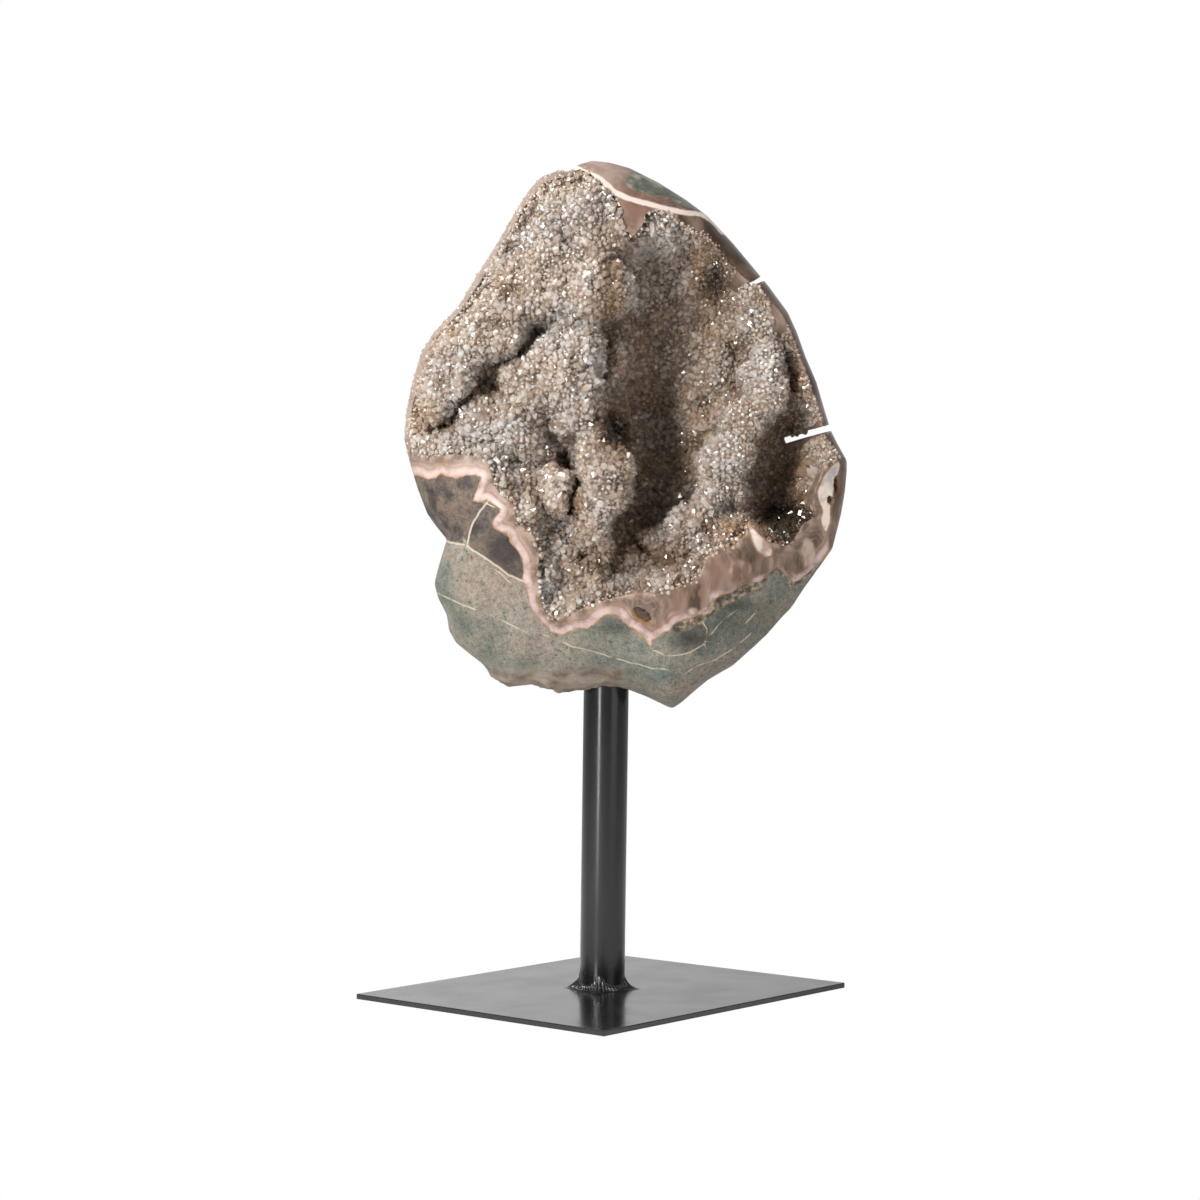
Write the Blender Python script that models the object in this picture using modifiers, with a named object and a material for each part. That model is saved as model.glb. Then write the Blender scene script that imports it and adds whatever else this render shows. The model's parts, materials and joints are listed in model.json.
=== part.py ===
# Druzy quartz geode, cut open and polished round its rim, on a welded steel stand.
# Metres, +Z up. The origin is the centre of the base plate's underside, and the open face looks along -Y.

import math
import random

import bmesh
import bpy
import numpy as np
from mathutils import Matrix, Vector
from mathutils.geometry import delaunay_2d_cdt

MM = 0.001
COLLECTION_NAME = "quartz specimen on stand"
FIT_GAP = 0.3 * MM

# Stand
PLATE_WIDTH = 211 * MM
PLATE_LENGTH = 182 * MM
PLATE_THICKNESS = 3 * MM
PLATE_TURN = math.radians(49.1)
PLATE_EDGE_ROUND = 0.4 * MM
POST_RADIUS = 12.7 * MM
POST_FOOT_X = -1.2 * MM
POST_LEAN = math.radians(0.8)
POST_TOP = 212 * MM
POST_SIDES = 40
WELD_HEIGHT = 8.6 * MM
WELD_LOW_HEIGHT = 3.2 * MM
WELD_REACH = 8.5 * MM
WELD_LOW_REACH = 3.0 * MM
WELD_TURN = math.radians(-7)
WELD_PROFILE = [(1, 0), (0.42, 0.3), (0.2, 0.9), (0, 1), (0, 0.5), (0, 0)]

# Geode: plane figures are (x, z) in millimetres, and heights are millimetres towards the viewer
CENTRE = (20, 334)
SILHOUETTE = [
    (-7, 468), (3, 467), (14, 464), (30, 456), (46, 446), (58, 437), (72, 422), (82, 410), (92, 398),
    (103, 383), (108, 372), (113, 358), (119, 344), (124, 327), (127, 317), (131, 309), (136, 300),
    (136, 294), (135, 283), (133, 271), (128, 251), (119, 238), (104, 217), (91, 202), (72, 185),
    (58, 177), (44, 165), (38, 161), (23, 168), (13, 172), (0, 174), (-12, 172), (-25, 170), (-40, 175),
    (-54, 174), (-63, 179), (-68, 186), (-83, 198), (-87, 205), (-88, 213), (-93, 223), (-95, 231),
    (-93, 240), (-88, 256), (-94, 263), (-99, 270), (-104, 283), (-109, 299), (-112, 312), (-111, 326),
    (-108, 342), (-103, 359), (-96, 371), (-82, 386), (-71, 404), (-58, 425), (-47, 444), (-41, 453),
    (-35, 459), (-27, 462), (-20, 462), (-14, 466),
]
CRYSTAL_EDGE = [
    (-14, 462), (-7, 458), (1, 449), (9, 441), (12, 425), (16, 421), (21, 427), (23, 435), (33, 437),
    (46, 428), (58, 423), (68, 411), (77, 402), (87, 395), (101, 379), (106, 368), (111, 354), (121, 325),
    (124, 314), (131, 301), (128, 298), (121, 294), (116, 283), (115, 276), (117, 268), (110, 264),
    (106, 257), (101, 252), (90, 254), (84, 260), (79, 266), (77, 258), (71, 252), (62, 250), (56, 246),
    (53, 238), (50, 233), (42, 230), (30, 226), (18, 226), (4, 223), (-6, 220), (-13, 217), (-19, 213),
    (-26, 210), (-32, 215), (-35, 227), (-36, 238), (-35, 248), (-38, 257), (-46, 263), (-50, 275),
    (-55, 279), (-60, 285), (-61, 292), (-64, 299), (-71, 301), (-83, 302), (-95, 301), (-106, 304),
    (-108, 319), (-106, 332), (-102, 346), (-98, 358), (-94, 367), (-80, 382), (-68, 400), (-56, 421),
    (-45, 439), (-39, 448), (-33, 454), (-26, 456), (-19, 458),
]
MERIDIAN_STEP = math.radians(4.4)
FRONT_RINGS = [0.35, 0.62, 0.8, 0.9, 0.97]
BACK_RINGS = [0.98, 0.92, 0.82, 0.66, 0.45, 0.22]
RIM_WIDTH = 2.8
EDGE_HEIGHT = 8
FRONT_HEIGHT = 46
BACK_DEPTH = 68
FLANK_START = (33, 180)
FLANK_DIRECTION = (0.85, -0.53)
FLANK_SLOPE = 0.75
BACK_FACETS = [
    (math.radians(50), 52, 0.55),
    (math.radians(165), 48, 0.6),
    (math.radians(285), 58, 0.5),
]

# Relief of the hollow
RIM_DROP = 1.0
RIM_HEIGHT_DROP = 1.5
RIM_POINTS = 48
WALL = 12
BLEND = 7
CRUST_THICKNESS = 5
STONE_WALL = 5
SEAT_SPREAD = 6
CRUST_GAP = 0.35
SHEET_STEP = 8.0
SEAT_STEP = 11.0
SHEET_SEED = 3
SEAT_MOUTH = 90
SEAT_REACH = 160

# The hollow's ground under the lobes: (x, z, height)
GROUND = [
    (-25, 441, 21), (-47, 411, 21), (-7, 416, 22), (-19, 388, 24), (-58, 377, 22), (-86, 355, 20),
    (-69, 333, 18), (-24, 338, 26), (-47, 316, 24), (-86, 314, 20), (-8, 322, 20), (-8, 289, 16),
    (-30, 275, 14), (-30, 252, 20), (-22, 227, 25), (-42, 289, 21), (-8, 372, 18), (14, 392, -4),
    (10, 364, -10), (13, 324, -14), (18, 290, -18), (10, 256, -4), (18, 436, 18), (29, 419, 2),
    (48, 419, 4), (65, 408, 8), (26, 393, -14), (49, 392, -10), (71, 391, 2), (26, 360, -24),
    (49, 359, -18), (71, 358, -7), (27, 337, -32), (26, 320, -38), (49, 319, -22), (66, 318, -6),
    (26, 297, -40), (29, 280, -34), (49, 279, -14), (32, 250, -10), (20, 233, 10), (48, 244, 10),
    (88, 369, 0), (79, 335, 0), (71, 306, 0), (61, 278, 3), (48, 253, 8), (105, 358, -5),
    (103, 324, -12), (98, 296, -18), (107, 274, -24), (120, 290, -8), (117, 324, -5), (88, 276, -8),
    (73, 253, 16), (53, 233, 20), (14, 222, 22),
]
GROUND_SOFTNESS = 14
GROUND_SMOOTHING = 3

# Rounded lobes standing on the ground: both ends of the crest, the radius and the crown's height at each
# end, and the fullness of the section
LOBES = {
    "upper ridge": ((-7, 443), (-4, 392), 15, 17, 30, 36, 2.6),
    "upper ridge face": ((-22, 429), (-27, 393), 20, 22, 29, 34, 2.6),
    "upper ridge flank": ((-44, 409), (-49, 387), 20, 20, 28, 31, 2.6),
    "saddle": ((-11, 387), (-14, 375), 13, 11, 34, 30, 2.4),
    "shoulder": ((-35, 384), (-57, 370), 14, 18, 33, 35, 2.4),
    "left lobe": ((-55, 373), (-78, 351), 20, 20, 36, 34, 2.4),
    "left lobe foot": ((-82, 357), (-91, 332), 17, 13, 33, 28, 2.4),
    "left end": ((-93, 332), (-100, 322), 11, 8, 28, 22, 2.4),
    "middle lobe top": ((-18, 359), (-24, 347), 17, 22, 35, 40, 2.4),
    "middle lobe": ((-23, 340), (-16, 325), 20, 15, 41, 38, 2.4),
    "middle lobe face": ((-41, 334), (-46, 318), 20, 16, 38, 35, 2.4),
    "middle lobe tail": ((-57, 324), (-77, 313), 15, 12, 34, 30, 2.4),
    "tail end": ((-77, 311), (-95, 305), 9, 7, 29, 24, 2.4),
    "prong": ((-42, 307), (-38, 304), 9, 8, 34, 30, 2.4),
    "round lobe top": ((-3, 310), (1, 296), 9, 12, 32, 38, 2.4),
    "round lobe": ((1, 294), (0, 279), 13, 13, 38, 36, 2.4),
    "round lobe foot": ((-3, 274), (-7, 263), 11, 10, 33, 28, 2.4),
    "knob": ((-28, 285), (-28, 281), 9.5, 9.5, 36, 36, 2.4),
    "slope by the rim": ((-43, 288), (-36, 269), 9, 9, 27, 25, 2.4),
    "lower slope": ((-31, 258), (-25, 237), 12, 13, 27, 31, 2.4),
    "lower bump": ((-18, 266), (-13, 252), 9, 9, 25, 24, 2.4),
    "inner bump": ((-6, 252), (-3, 239), 11, 10, 22, 22, 2.4),
    "bottom bump": ((-16, 230), (-2, 227), 10, 9, 30, 27, 2.4),
    "small cluster": ((-1, 357), (0, 353), 7.5, 7.5, 12, 12, 2.4),
    "ridge end": ((11, 244), (20, 236), 11, 10, 12, 14, 2.4),
    "ridge foot": ((31, 243), (48, 251), 14, 13, 10, 14, 2.0),
    "ridge bend": ((48, 253), (57, 265), 13, 15, 14, 17, 2.0),
    "ridge swell": ((59, 271), (65, 284), 14, 13, 17, 14, 2.0),
    "yellow lump": ((71, 298), (70, 303), 13, 13, 18, 17, 2.2),
    "ridge neck": ((75, 311), (79, 323), 10, 10, 12, 12, 2.0),
    "ridge link": ((83, 325), (86, 334), 11, 10, 13, 12, 2.0),
    "ridge lump": ((90, 356), (91, 344), 12, 12.5, 17, 17, 2.2),
    "ridge top": ((86, 380), (92, 367), 9, 10, 9, 12, 2.0),
}
LOBE_DROP = 0.9
PITS = {
    "dark hole": ((-26, 299), (-25, 299), 8, -6),
    "right pocket": ((105, 342), (102, 278), 17, -16),
}
PIT_SPAN = 45

# Cuts and holes: mouth and inner end of each saw cut, its width and how far it slopes down to the back
SAW_CUTS = [
    ((88.5, 402), (79, 398), 3.2, math.radians(7)),
    ((130, 316), (105, 310), 3.4, math.radians(4)),
]
SAW_OVERRUN = 30
VUGS = [
    ((21.5, 211), (6.5, 4.2), math.radians(-42)),
    ((128.5, 286), (2.8, 6.0), math.radians(-5)),
]
VUG_DEPTH = 9

# Quartz points on the crust: a low pyramid on every facet, and taller tapered prisms on a few
DRUSE_SEED = 5
DRUSE_HEIGHT = 2.6
DRUSE_VARIATION = 1.4
PRISM_SHARE = 0.08
PRISM_HEIGHT = 3.6
PRISM_TAPER = 1.1
PRISM_FACING = -0.88


def reach(outline, angle):
    # Distance from the centre to an outline in one direction
    dx, dz = math.cos(angle), math.sin(angle)
    farthest = 0.0
    for start, end in zip(outline, outline[1:] + outline[:1]):
        ax, az = start[0] - CENTRE[0], start[1] - CENTRE[1]
        bx, bz = end[0] - CENTRE[0], end[1] - CENTRE[1]
        side_a = dx * az - dz * ax
        side_b = dx * bz - dz * bx
        if side_a * side_b > 0 or side_a == side_b:
            continue
        share = side_a / (side_a - side_b)
        x, z = ax + share * (bx - ax), az + share * (bz - az)
        farthest = max(farthest, x * dx + z * dz)
    return farthest


def crystal_reach(angle):
    return min(reach(CRYSTAL_EDGE, angle), reach(SILHOUETTE, angle) - RIM_WIDTH)


def meridian_angles():
    # A meridian through each corner of the silhouette, and others where two of them are far apart
    corners = sorted(math.atan2(z - CENTRE[1], x - CENTRE[0]) % math.tau for x, z in SILHOUETTE)
    angles = []
    for here, after in zip(corners, corners[1:] + [corners[0] + math.tau]):
        steps = max(1, round((after - here) / MERIDIAN_STEP))
        angles += [here + (after - here) * step / steps for step in range(steps)]
    return angles


def dome_height(x, z):
    # The polished front: blunt at the bottom, rounder elsewhere, with one flat flank at the lower right
    angle = math.atan2(z - CENTRE[1], x - CENTRE[0])
    fraction = min(1.0, math.hypot(x - CENTRE[0], z - CENTRE[1]) / reach(SILHOUETTE, angle))
    bluntness = 3 + 7 * max(0.0, math.cos(angle - math.radians(265))) ** 2
    dome = EDGE_HEIGHT + (FRONT_HEIGHT - EDGE_HEIGHT) * (1 - fraction ** bluntness) ** 0.5
    along = (x - FLANK_START[0]) * FLANK_DIRECTION[0] + (z - FLANK_START[1]) * FLANK_DIRECTION[1]
    flank = max(EDGE_HEIGHT, FRONT_HEIGHT - FLANK_SLOPE * max(0.0, along))
    return min(dome, flank)


def back_height(x, z):
    # The back: a rounder dome with a few flatter facets ground on it
    angle = math.atan2(z - CENTRE[1], x - CENTRE[0])
    distance = math.hypot(x - CENTRE[0], z - CENTRE[1])
    fraction = min(1.0, distance / reach(SILHOUETTE, angle))
    height = EDGE_HEIGHT - (EDGE_HEIGHT + BACK_DEPTH) * (1 - fraction ** 2.4) ** 0.5
    for facet_angle, start, slope in BACK_FACETS:
        along = distance * math.cos(angle - facet_angle)
        height = max(height, min(EDGE_HEIGHT, -BACK_DEPTH + slope * (along - start)))
    return height


def segment_distance(x, z, start, end):
    # Distance to a segment, and how far along it the nearest point lies
    run_x, run_z = end[0] - start[0], end[1] - start[1]
    share = ((x - start[0]) * run_x + (z - start[1]) * run_z) / (run_x ** 2 + run_z ** 2)
    share = min(1.0, max(0.0, share))
    return math.hypot(x - start[0] - share * run_x, z - start[1] - share * run_z), share


def smooth_max(a, b):
    mix = max(0.0, BLEND - abs(a - b)) / BLEND
    return max(a, b) + mix ** 2 * BLEND / 4


def ground_surface():
    # A smooth sheet through the ground's points and points of the rim: a sum of soft cones and a plane
    points = list(GROUND)
    for step in range(RIM_POINTS):
        angle = step * math.tau / RIM_POINTS
        edge = crystal_reach(angle)
        x, z = CENTRE[0] + edge * math.cos(angle), CENTRE[1] + edge * math.sin(angle)
        points.append((x, z, dome_height(x, z) - RIM_HEIGHT_DROP))
    places = np.array(points, float)
    count = len(places)
    apart = np.hypot(*(places[:, None, :2] - places[None, :, :2]).transpose(2, 0, 1))
    system = np.zeros((count + 3, count + 3))
    system[:count, :count] = GROUND_SMOOTHING * np.eye(count) - np.hypot(apart, GROUND_SOFTNESS)
    system[:count, count] = system[count, :count] = 1
    system[:count, count + 1:] = places[:, :2]
    system[count + 1:, :count] = places[:, :2].T
    weights = np.linalg.solve(system, np.append(places[:, 2], [0, 0, 0]))

    def height(x, z):
        cones = -np.hypot(np.hypot(x - places[:, 0], z - places[:, 1]), GROUND_SOFTNESS)
        return float(cones @ weights[:count] + weights[count:] @ (1, x, z))
    return height


def relief_height(x, z):
    return hollow_height(x, z, LOBES)


def hollow_height(x, z, lobes):
    # The crystal surface: the ground, rounded lobes standing on it, and two pits
    height = ground_height(x, z)
    for start, end, first_radius, last_radius, first_top, last_top, fullness in lobes.values():
        away, share = segment_distance(x, z, start, end)
        radius = first_radius + (last_radius - first_radius) * share
        if away < radius:
            top = first_top + (last_top - first_top) * share
            lobe = top - LOBE_DROP * radius * (1 - (1 - (away / radius) ** fullness) ** 0.5)
            height = smooth_max(height, lobe)
    for start, end, radius, floor in PITS.values():
        away, _ = segment_distance(x, z, start, end)
        if away < radius:
            pit = floor + PIT_SPAN * (1 - (1 - (away / radius) ** 2) ** 0.5)
            height = -smooth_max(-height, -pit)
    height = min(height, dome_height(x, z) - RIM_DROP)
    return max(height, back_height(x, z) + WALL)


def stone_body(name):
    # A sphere whose poles lie front and back, with each ring of vertices moved out to the stone's surface.
    # The primitive's first meridian lies at -Y, a quarter turn back.
    angles = meridian_angles()
    rings = [(0.0, dome_height)] + [(share, dome_height) for share in FRONT_RINGS]
    rings += [(1.0, lambda x, z: EDGE_HEIGHT)]
    rings += [(share, back_height) for share in BACK_RINGS] + [(0.0, back_height)]
    divisions = len(rings) - 1
    bm = bmesh.new()
    bmesh.ops.create_uvsphere(bm, u_segments=len(angles), v_segments=divisions, radius=1)
    for vertex in bm.verts:
        ring = round(math.acos(max(-1.0, min(1.0, vertex.co.z))) / math.pi * divisions)
        turn = round((math.atan2(vertex.co.y, vertex.co.x) / math.tau + 0.25) * len(angles)) % len(angles)
        share, height_of = rings[ring]
        distance = share * reach(SILHOUETTE, angles[turn])
        x = CENTRE[0] + distance * math.cos(angles[turn])
        z = CENTRE[1] + distance * math.sin(angles[turn])
        vertex.co = Vector((x, -height_of(x, z), z)) * MM
    return mesh_object(name, bm)


def crystal_outline(outset):
    # The crystal edge, kept inside the rim and moved outwards by a distance
    points = []
    for x, z in CRYSTAL_EDGE:
        angle = math.atan2(z - CENTRE[1], x - CENTRE[0])
        distance = min(math.hypot(x - CENTRE[0], z - CENTRE[1]), crystal_reach(angle))
        points.append(Vector((CENTRE[0] + distance * math.cos(angle), CENTRE[1] + distance * math.sin(angle))))
    moved = []
    for before, here, after in zip(points[-1:] + points[:-1], points, points[1:] + points[:1]):
        normal = ((here - before).normalized() + (after - here).normalized()).normalized()
        moved.append(here + Vector((-normal.y, normal.x)) * outset)
    return moved


def sheet_points(outline, step, margin):
    # Points of a jittered triangular grid that lie inside an outline
    rng = random.Random(SHEET_SEED)
    points = []
    rows = int(2 * SEAT_REACH / (step * 0.866))
    for row in range(rows):
        z = CENTRE[1] - SEAT_REACH + row * step * 0.866
        for column in range(int(2 * SEAT_REACH / step)):
            x = CENTRE[0] - SEAT_REACH + (column + 0.5 * (row % 2)) * step
            spot = Vector((x + rng.uniform(-0.2, 0.2) * step, z + rng.uniform(-0.2, 0.2) * step))
            if is_inside(spot, outline) and edge_distance(spot, outline) > margin * step:
                points.append(spot)
    return points


def is_inside(spot, outline):
    inside = False
    for start, end in zip(outline, outline[1:] + outline[:1]):
        if (start.y > spot.y) != (end.y > spot.y):
            if spot.x < start.x + (spot.y - start.y) * (end.x - start.x) / (end.y - start.y):
                inside = not inside
    return inside


def edge_distance(spot, outline):
    return min(segment_distance(spot.x, spot.y, a, b)[0] for a, b in zip(outline, outline[1:] + outline[:1]))


def add_sheet(bm, outline, inner_points, height_of, facing):
    # A triangulated sheet inside the outline; returns its edge vertices in the outline's order, and its faces
    count = len(outline)
    border = [(i, (i + 1) % count) for i in range(count)]
    flat, _, faces, _, _, _ = delaunay_2d_cdt(outline + inner_points, border, [], 1, 1e-5)
    verts = [bm.verts.new(Vector((p.x, -height_of(p.x, p.y), p.y)) * MM) for p in flat]
    made = [bm.faces.new([verts[i] for i in (face if facing > 0 else face[::-1])]) for face in faces]
    edge = [min(range(len(flat)), key=lambda i: (flat[i] - corner).length) for corner in outline]
    return [verts[i] for i in edge], made


def seat_solid(front_step, front_height, back_height_of, outset):
    # A closed solid between a front sheet and a smoother back sheet, which share one outline
    outline = crystal_outline(0.0)
    moved = crystal_outline(outset)
    bm = bmesh.new()
    inner_front = sheet_points(outline, front_step, 0.45)
    inner_back = sheet_points(outline, SEAT_STEP, 0.4)
    front_edge, front_faces = add_sheet(bm, outline, inner_front, front_height, 1)
    back_edge, _ = add_sheet(bm, outline, inner_back, back_height_of, -1)
    for i in range(len(outline)):
        j = (i + 1) % len(outline)
        bm.faces.new((front_edge[i], front_edge[j], back_edge[j], back_edge[i]))
    for edge in (front_edge, back_edge):
        for vertex, spot in zip(edge, moved):
            vertex.co.x, vertex.co.z = spot.x * MM, spot.y * MM
    bmesh.ops.triangulate(bm, faces=[face for face in bm.faces if len(face.verts) > 3])
    return bm, front_faces, front_edge


def mesh_object(name, bm):
    bmesh.ops.recalc_face_normals(bm, faces=bm.faces)
    mesh = bpy.data.meshes.new(name)
    bm.to_mesh(mesh)
    bm.free()
    return bpy.data.objects.new(name, mesh)


def seat_height(x, z):
    # Where the crust is seated: a crust's thickness below the lowest point near by, with no lobes.
    # It stays in front of the stone's thinnest wall.
    near = [(x, z)]
    for turn in range(8):
        angle = turn * math.tau / 8
        near.append((x + SEAT_SPREAD * math.cos(angle), z + SEAT_SPREAD * math.sin(angle)))
    lowest = min(hollow_height(px, pz, {}) for px, pz in near)
    return max(lowest - CRUST_THICKNESS, back_height(x, z) + STONE_WALL)


def crust_body(name):
    bm, front, edge = seat_solid(SHEET_STEP, relief_height, seat_height, 0.0)
    raise_druse(bm, front, edge)
    return mesh_object(name, bm)


def seat_cutter(name):
    # The crust's seat: the same back a little lower, a slightly wider outline, and an open mouth in front
    bm, _, _ = seat_solid(
        SEAT_STEP, lambda x, z: SEAT_MOUTH, lambda x, z: seat_height(x, z) - CRUST_GAP, CRUST_GAP)
    return mesh_object(name, bm)


def raise_druse(bm, front, edge):
    # Each front face away from the rim carries a quartz tip, and some of them a prism under the tip.
    # Tips are lower on steep walls, where they would run into each other.
    rng = random.Random(DRUSE_SEED)
    bmesh.ops.recalc_face_normals(bm, faces=bm.faces)
    rim = set(edge)
    grown = [face for face in front if not rim & set(face.verts)]
    prisms = [face for face in grown if rng.random() < PRISM_SHARE and face.normal.y < PRISM_FACING]
    bmesh.ops.inset_individual(bm, faces=prisms, thickness=PRISM_TAPER * MM, depth=PRISM_HEIGHT * MM)
    directions = [face.normal.copy() for face in grown]
    tips = bmesh.ops.poke(bm, faces=grown, offset=0, center_mode="MEAN")["verts"]
    for tip, direction in zip(tips, directions):
        height = DRUSE_HEIGHT + rng.uniform(-DRUSE_VARIATION, DRUSE_VARIATION)
        tip.co += direction * height * max(0.15, -direction.y) * MM


def box_cutter(name, size, place, turn):
    bm = bmesh.new()
    bmesh.ops.create_cube(bm, size=1, matrix=Matrix.Diagonal((*size, 1)))
    bmesh.ops.transform(bm, matrix=Matrix.Translation(place) @ turn, verts=bm.verts)
    return mesh_object(name, bm)


def saw_cutter(number, mouth, inner, width, drop):
    # A slab that runs in from the edge, and slopes a little downwards to the back
    run = Vector((mouth[0] - inner[0], 0, mouth[1] - inner[1]))
    middle = Vector((inner[0], 0, inner[1])) + run.normalized() * (run.length + SAW_OVERRUN) / 2
    rise = math.atan2(run.z, run.x)
    turn = Matrix.Rotation(-rise, 4, "Y") @ Matrix.Rotation(drop, 4, "X")
    size = Vector((run.length + SAW_OVERRUN, 400, width)) * MM
    return box_cutter(f"saw cut {number}", size, middle * MM, turn)


def vug_cutter(number, place, radii, turn):
    bm = bmesh.new()
    bmesh.ops.create_icosphere(bm, subdivisions=1, radius=1)
    height = dome_height(*place)
    scale = Matrix.Diagonal((radii[0] * MM, VUG_DEPTH * MM, radii[1] * MM, 1))
    at = Matrix.Translation(Vector((place[0], -height, place[1])) * MM) @ Matrix.Rotation(-turn, 4, "Y")
    bmesh.ops.transform(bm, matrix=at @ scale, verts=bm.verts)
    return mesh_object(f"vug {number}", bm)


def post_axis():
    return Vector((math.sin(POST_LEAN), 0, math.cos(POST_LEAN)))


def cylinder(name, radius, bottom, top, sides):
    # A round bar along the leaning axis, between two heights measured up that axis
    bm = bmesh.new()
    foot = Vector((POST_FOOT_X, 0, 0))
    middle = foot + post_axis() * (bottom + top) / 2
    at = Matrix.Translation(middle) @ Matrix.Rotation(POST_LEAN, 4, "Y")
    bmesh.ops.create_cone(
        bm, cap_ends=True, segments=sides, radius1=radius, radius2=radius, depth=top - bottom, matrix=at)
    return mesh_object(name, bm)


def base_plate():
    bm = bmesh.new()
    size = Matrix.Diagonal((PLATE_WIDTH, PLATE_LENGTH, PLATE_THICKNESS, 1))
    bmesh.ops.create_cube(bm, size=1, matrix=Matrix.Translation((0, 0, PLATE_THICKNESS / 2)) @ size)
    bmesh.ops.rotate(bm, cent=(0, 0, 0), matrix=Matrix.Rotation(PLATE_TURN, 3, "Z"), verts=bm.verts)
    plate = mesh_object("base_plate", bm)
    bevel = plate.modifiers.new("edges", "BEVEL")
    bevel.width = PLATE_EDGE_ROUND
    bevel.segments = 2
    return plate


def weld_collar():
    # A concave fillet round the foot of the post, drawn out to four points
    bpy.ops.mesh.primitive_torus_add(
        major_segments=48, minor_segments=6, major_radius=1.0, minor_radius=0.2)
    collar = bpy.context.object
    collar.name = collar.data.name = "weld_collar"
    inner = POST_RADIUS + FIT_GAP
    bottom = PLATE_THICKNESS + FIT_GAP
    for vertex in collar.data.vertices:
        x, y, z = vertex.co
        angle = math.atan2(y, x)
        step = round(math.atan2(z, math.hypot(x, y) - 1.0) / math.tau * 6) % 6
        pointed = abs(math.cos(2 * (angle - WELD_TURN))) ** 6
        outward = WELD_LOW_REACH + (WELD_REACH - WELD_LOW_REACH) * pointed
        high = WELD_LOW_HEIGHT + (WELD_HEIGHT - WELD_LOW_HEIGHT) * pointed
        out_share, up_share = WELD_PROFILE[step]
        radius = inner + outward * out_share
        vertex.co = (radius * math.cos(angle) + POST_FOOT_X, radius * math.sin(angle),
                     bottom + high * up_share)
    return collar


def material(name, colour, roughness, metallic=0.0, transmission=0.0):
    made = bpy.data.materials.new(name)
    made.use_nodes = True
    shader = made.node_tree.nodes["Principled BSDF"]
    shader.inputs["Base Color"].default_value = (*colour, 1)
    shader.inputs["Roughness"].default_value = roughness
    shader.inputs["Metallic"].default_value = metallic
    shader.inputs["Transmission Weight"].default_value = transmission
    return made


def cut(target, cutter):
    step = target.modifiers.new(cutter.name, "BOOLEAN")
    step.operation = "DIFFERENCE"
    step.solver = "EXACT"
    step.object = cutter


def link(obj, collection):
    for other in obj.users_collection:
        other.objects.unlink(obj)
    collection.objects.link(obj)


def build():
    for old in list(bpy.data.objects):
        bpy.data.objects.remove(old)
    parts = bpy.data.collections.new(COLLECTION_NAME)
    cutters = bpy.data.collections.new("cutters")
    for collection in (parts, cutters):
        bpy.context.scene.collection.children.link(collection)

    stone = stone_body("geode_stone")
    crust = crust_body("crystal_crust")
    seat = seat_cutter("crust seat")
    cut(stone, seat)
    socket = cylinder("post socket", POST_RADIUS + FIT_GAP, 100 * MM, POST_TOP + FIT_GAP, POST_SIDES)
    cut(stone, socket)
    removed = [seat, socket]
    for number, kerf in enumerate(SAW_CUTS, 1):
        cutter = saw_cutter(number, *kerf)
        cut(stone, cutter)
        cut(crust, cutter)
        removed.append(cutter)
    for number, vug in enumerate(VUGS, 1):
        cutter = vug_cutter(number, *vug)
        cut(stone, cutter)
        removed.append(cutter)

    post = cylinder("post", POST_RADIUS, PLATE_THICKNESS + 2 * FIT_GAP, POST_TOP, POST_SIDES)
    collar = weld_collar()
    plate = base_plate()
    finishes = {
        stone: material("polished agate and basalt", (0.36, 0.33, 0.29), 0.35),
        crust: material("druzy quartz", (0.62, 0.54, 0.47), 0.2, transmission=0.3),
        post: material("black satin steel", (0.02, 0.02, 0.022), 0.35, metallic=0.6),
        collar: material("black weld", (0.018, 0.018, 0.02), 0.3, metallic=0.6),
        plate: material("black plate steel", (0.025, 0.025, 0.027), 0.3, metallic=0.6),
    }
    for part, finish in finishes.items():
        part.data.materials.append(finish)
        link(part, parts)
    for cutter in removed:
        link(cutter, cutters)
        cutter.hide_render = True
        cutter.display_type = "WIRE"
    post.data.shade_smooth()
    post.data.set_sharp_from_angle(angle=math.radians(40))


ground_height = ground_surface()
build()
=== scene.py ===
import json
import math

import bmesh
import bpy
import numpy as np
from mathutils import Matrix, Vector, noise
from mathutils.geometry import delaunay_2d_cdt

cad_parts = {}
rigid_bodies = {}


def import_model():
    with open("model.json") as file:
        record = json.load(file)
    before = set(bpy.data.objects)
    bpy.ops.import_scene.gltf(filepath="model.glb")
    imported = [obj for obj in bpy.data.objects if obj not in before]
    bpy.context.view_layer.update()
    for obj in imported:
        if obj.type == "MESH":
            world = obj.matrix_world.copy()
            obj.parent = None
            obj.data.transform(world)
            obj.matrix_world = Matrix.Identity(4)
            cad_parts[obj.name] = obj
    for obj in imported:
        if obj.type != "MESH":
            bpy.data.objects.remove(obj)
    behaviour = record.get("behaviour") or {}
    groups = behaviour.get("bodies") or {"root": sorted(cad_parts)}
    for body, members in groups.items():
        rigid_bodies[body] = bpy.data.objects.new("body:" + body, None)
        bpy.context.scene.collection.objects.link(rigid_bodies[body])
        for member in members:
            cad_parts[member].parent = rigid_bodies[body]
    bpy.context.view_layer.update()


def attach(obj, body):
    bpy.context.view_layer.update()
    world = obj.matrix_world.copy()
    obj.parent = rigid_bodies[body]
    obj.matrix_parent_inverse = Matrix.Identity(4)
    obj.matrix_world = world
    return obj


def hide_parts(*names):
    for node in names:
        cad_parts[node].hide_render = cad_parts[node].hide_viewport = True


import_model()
print("frame loaded")

mm = 0.001

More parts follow.
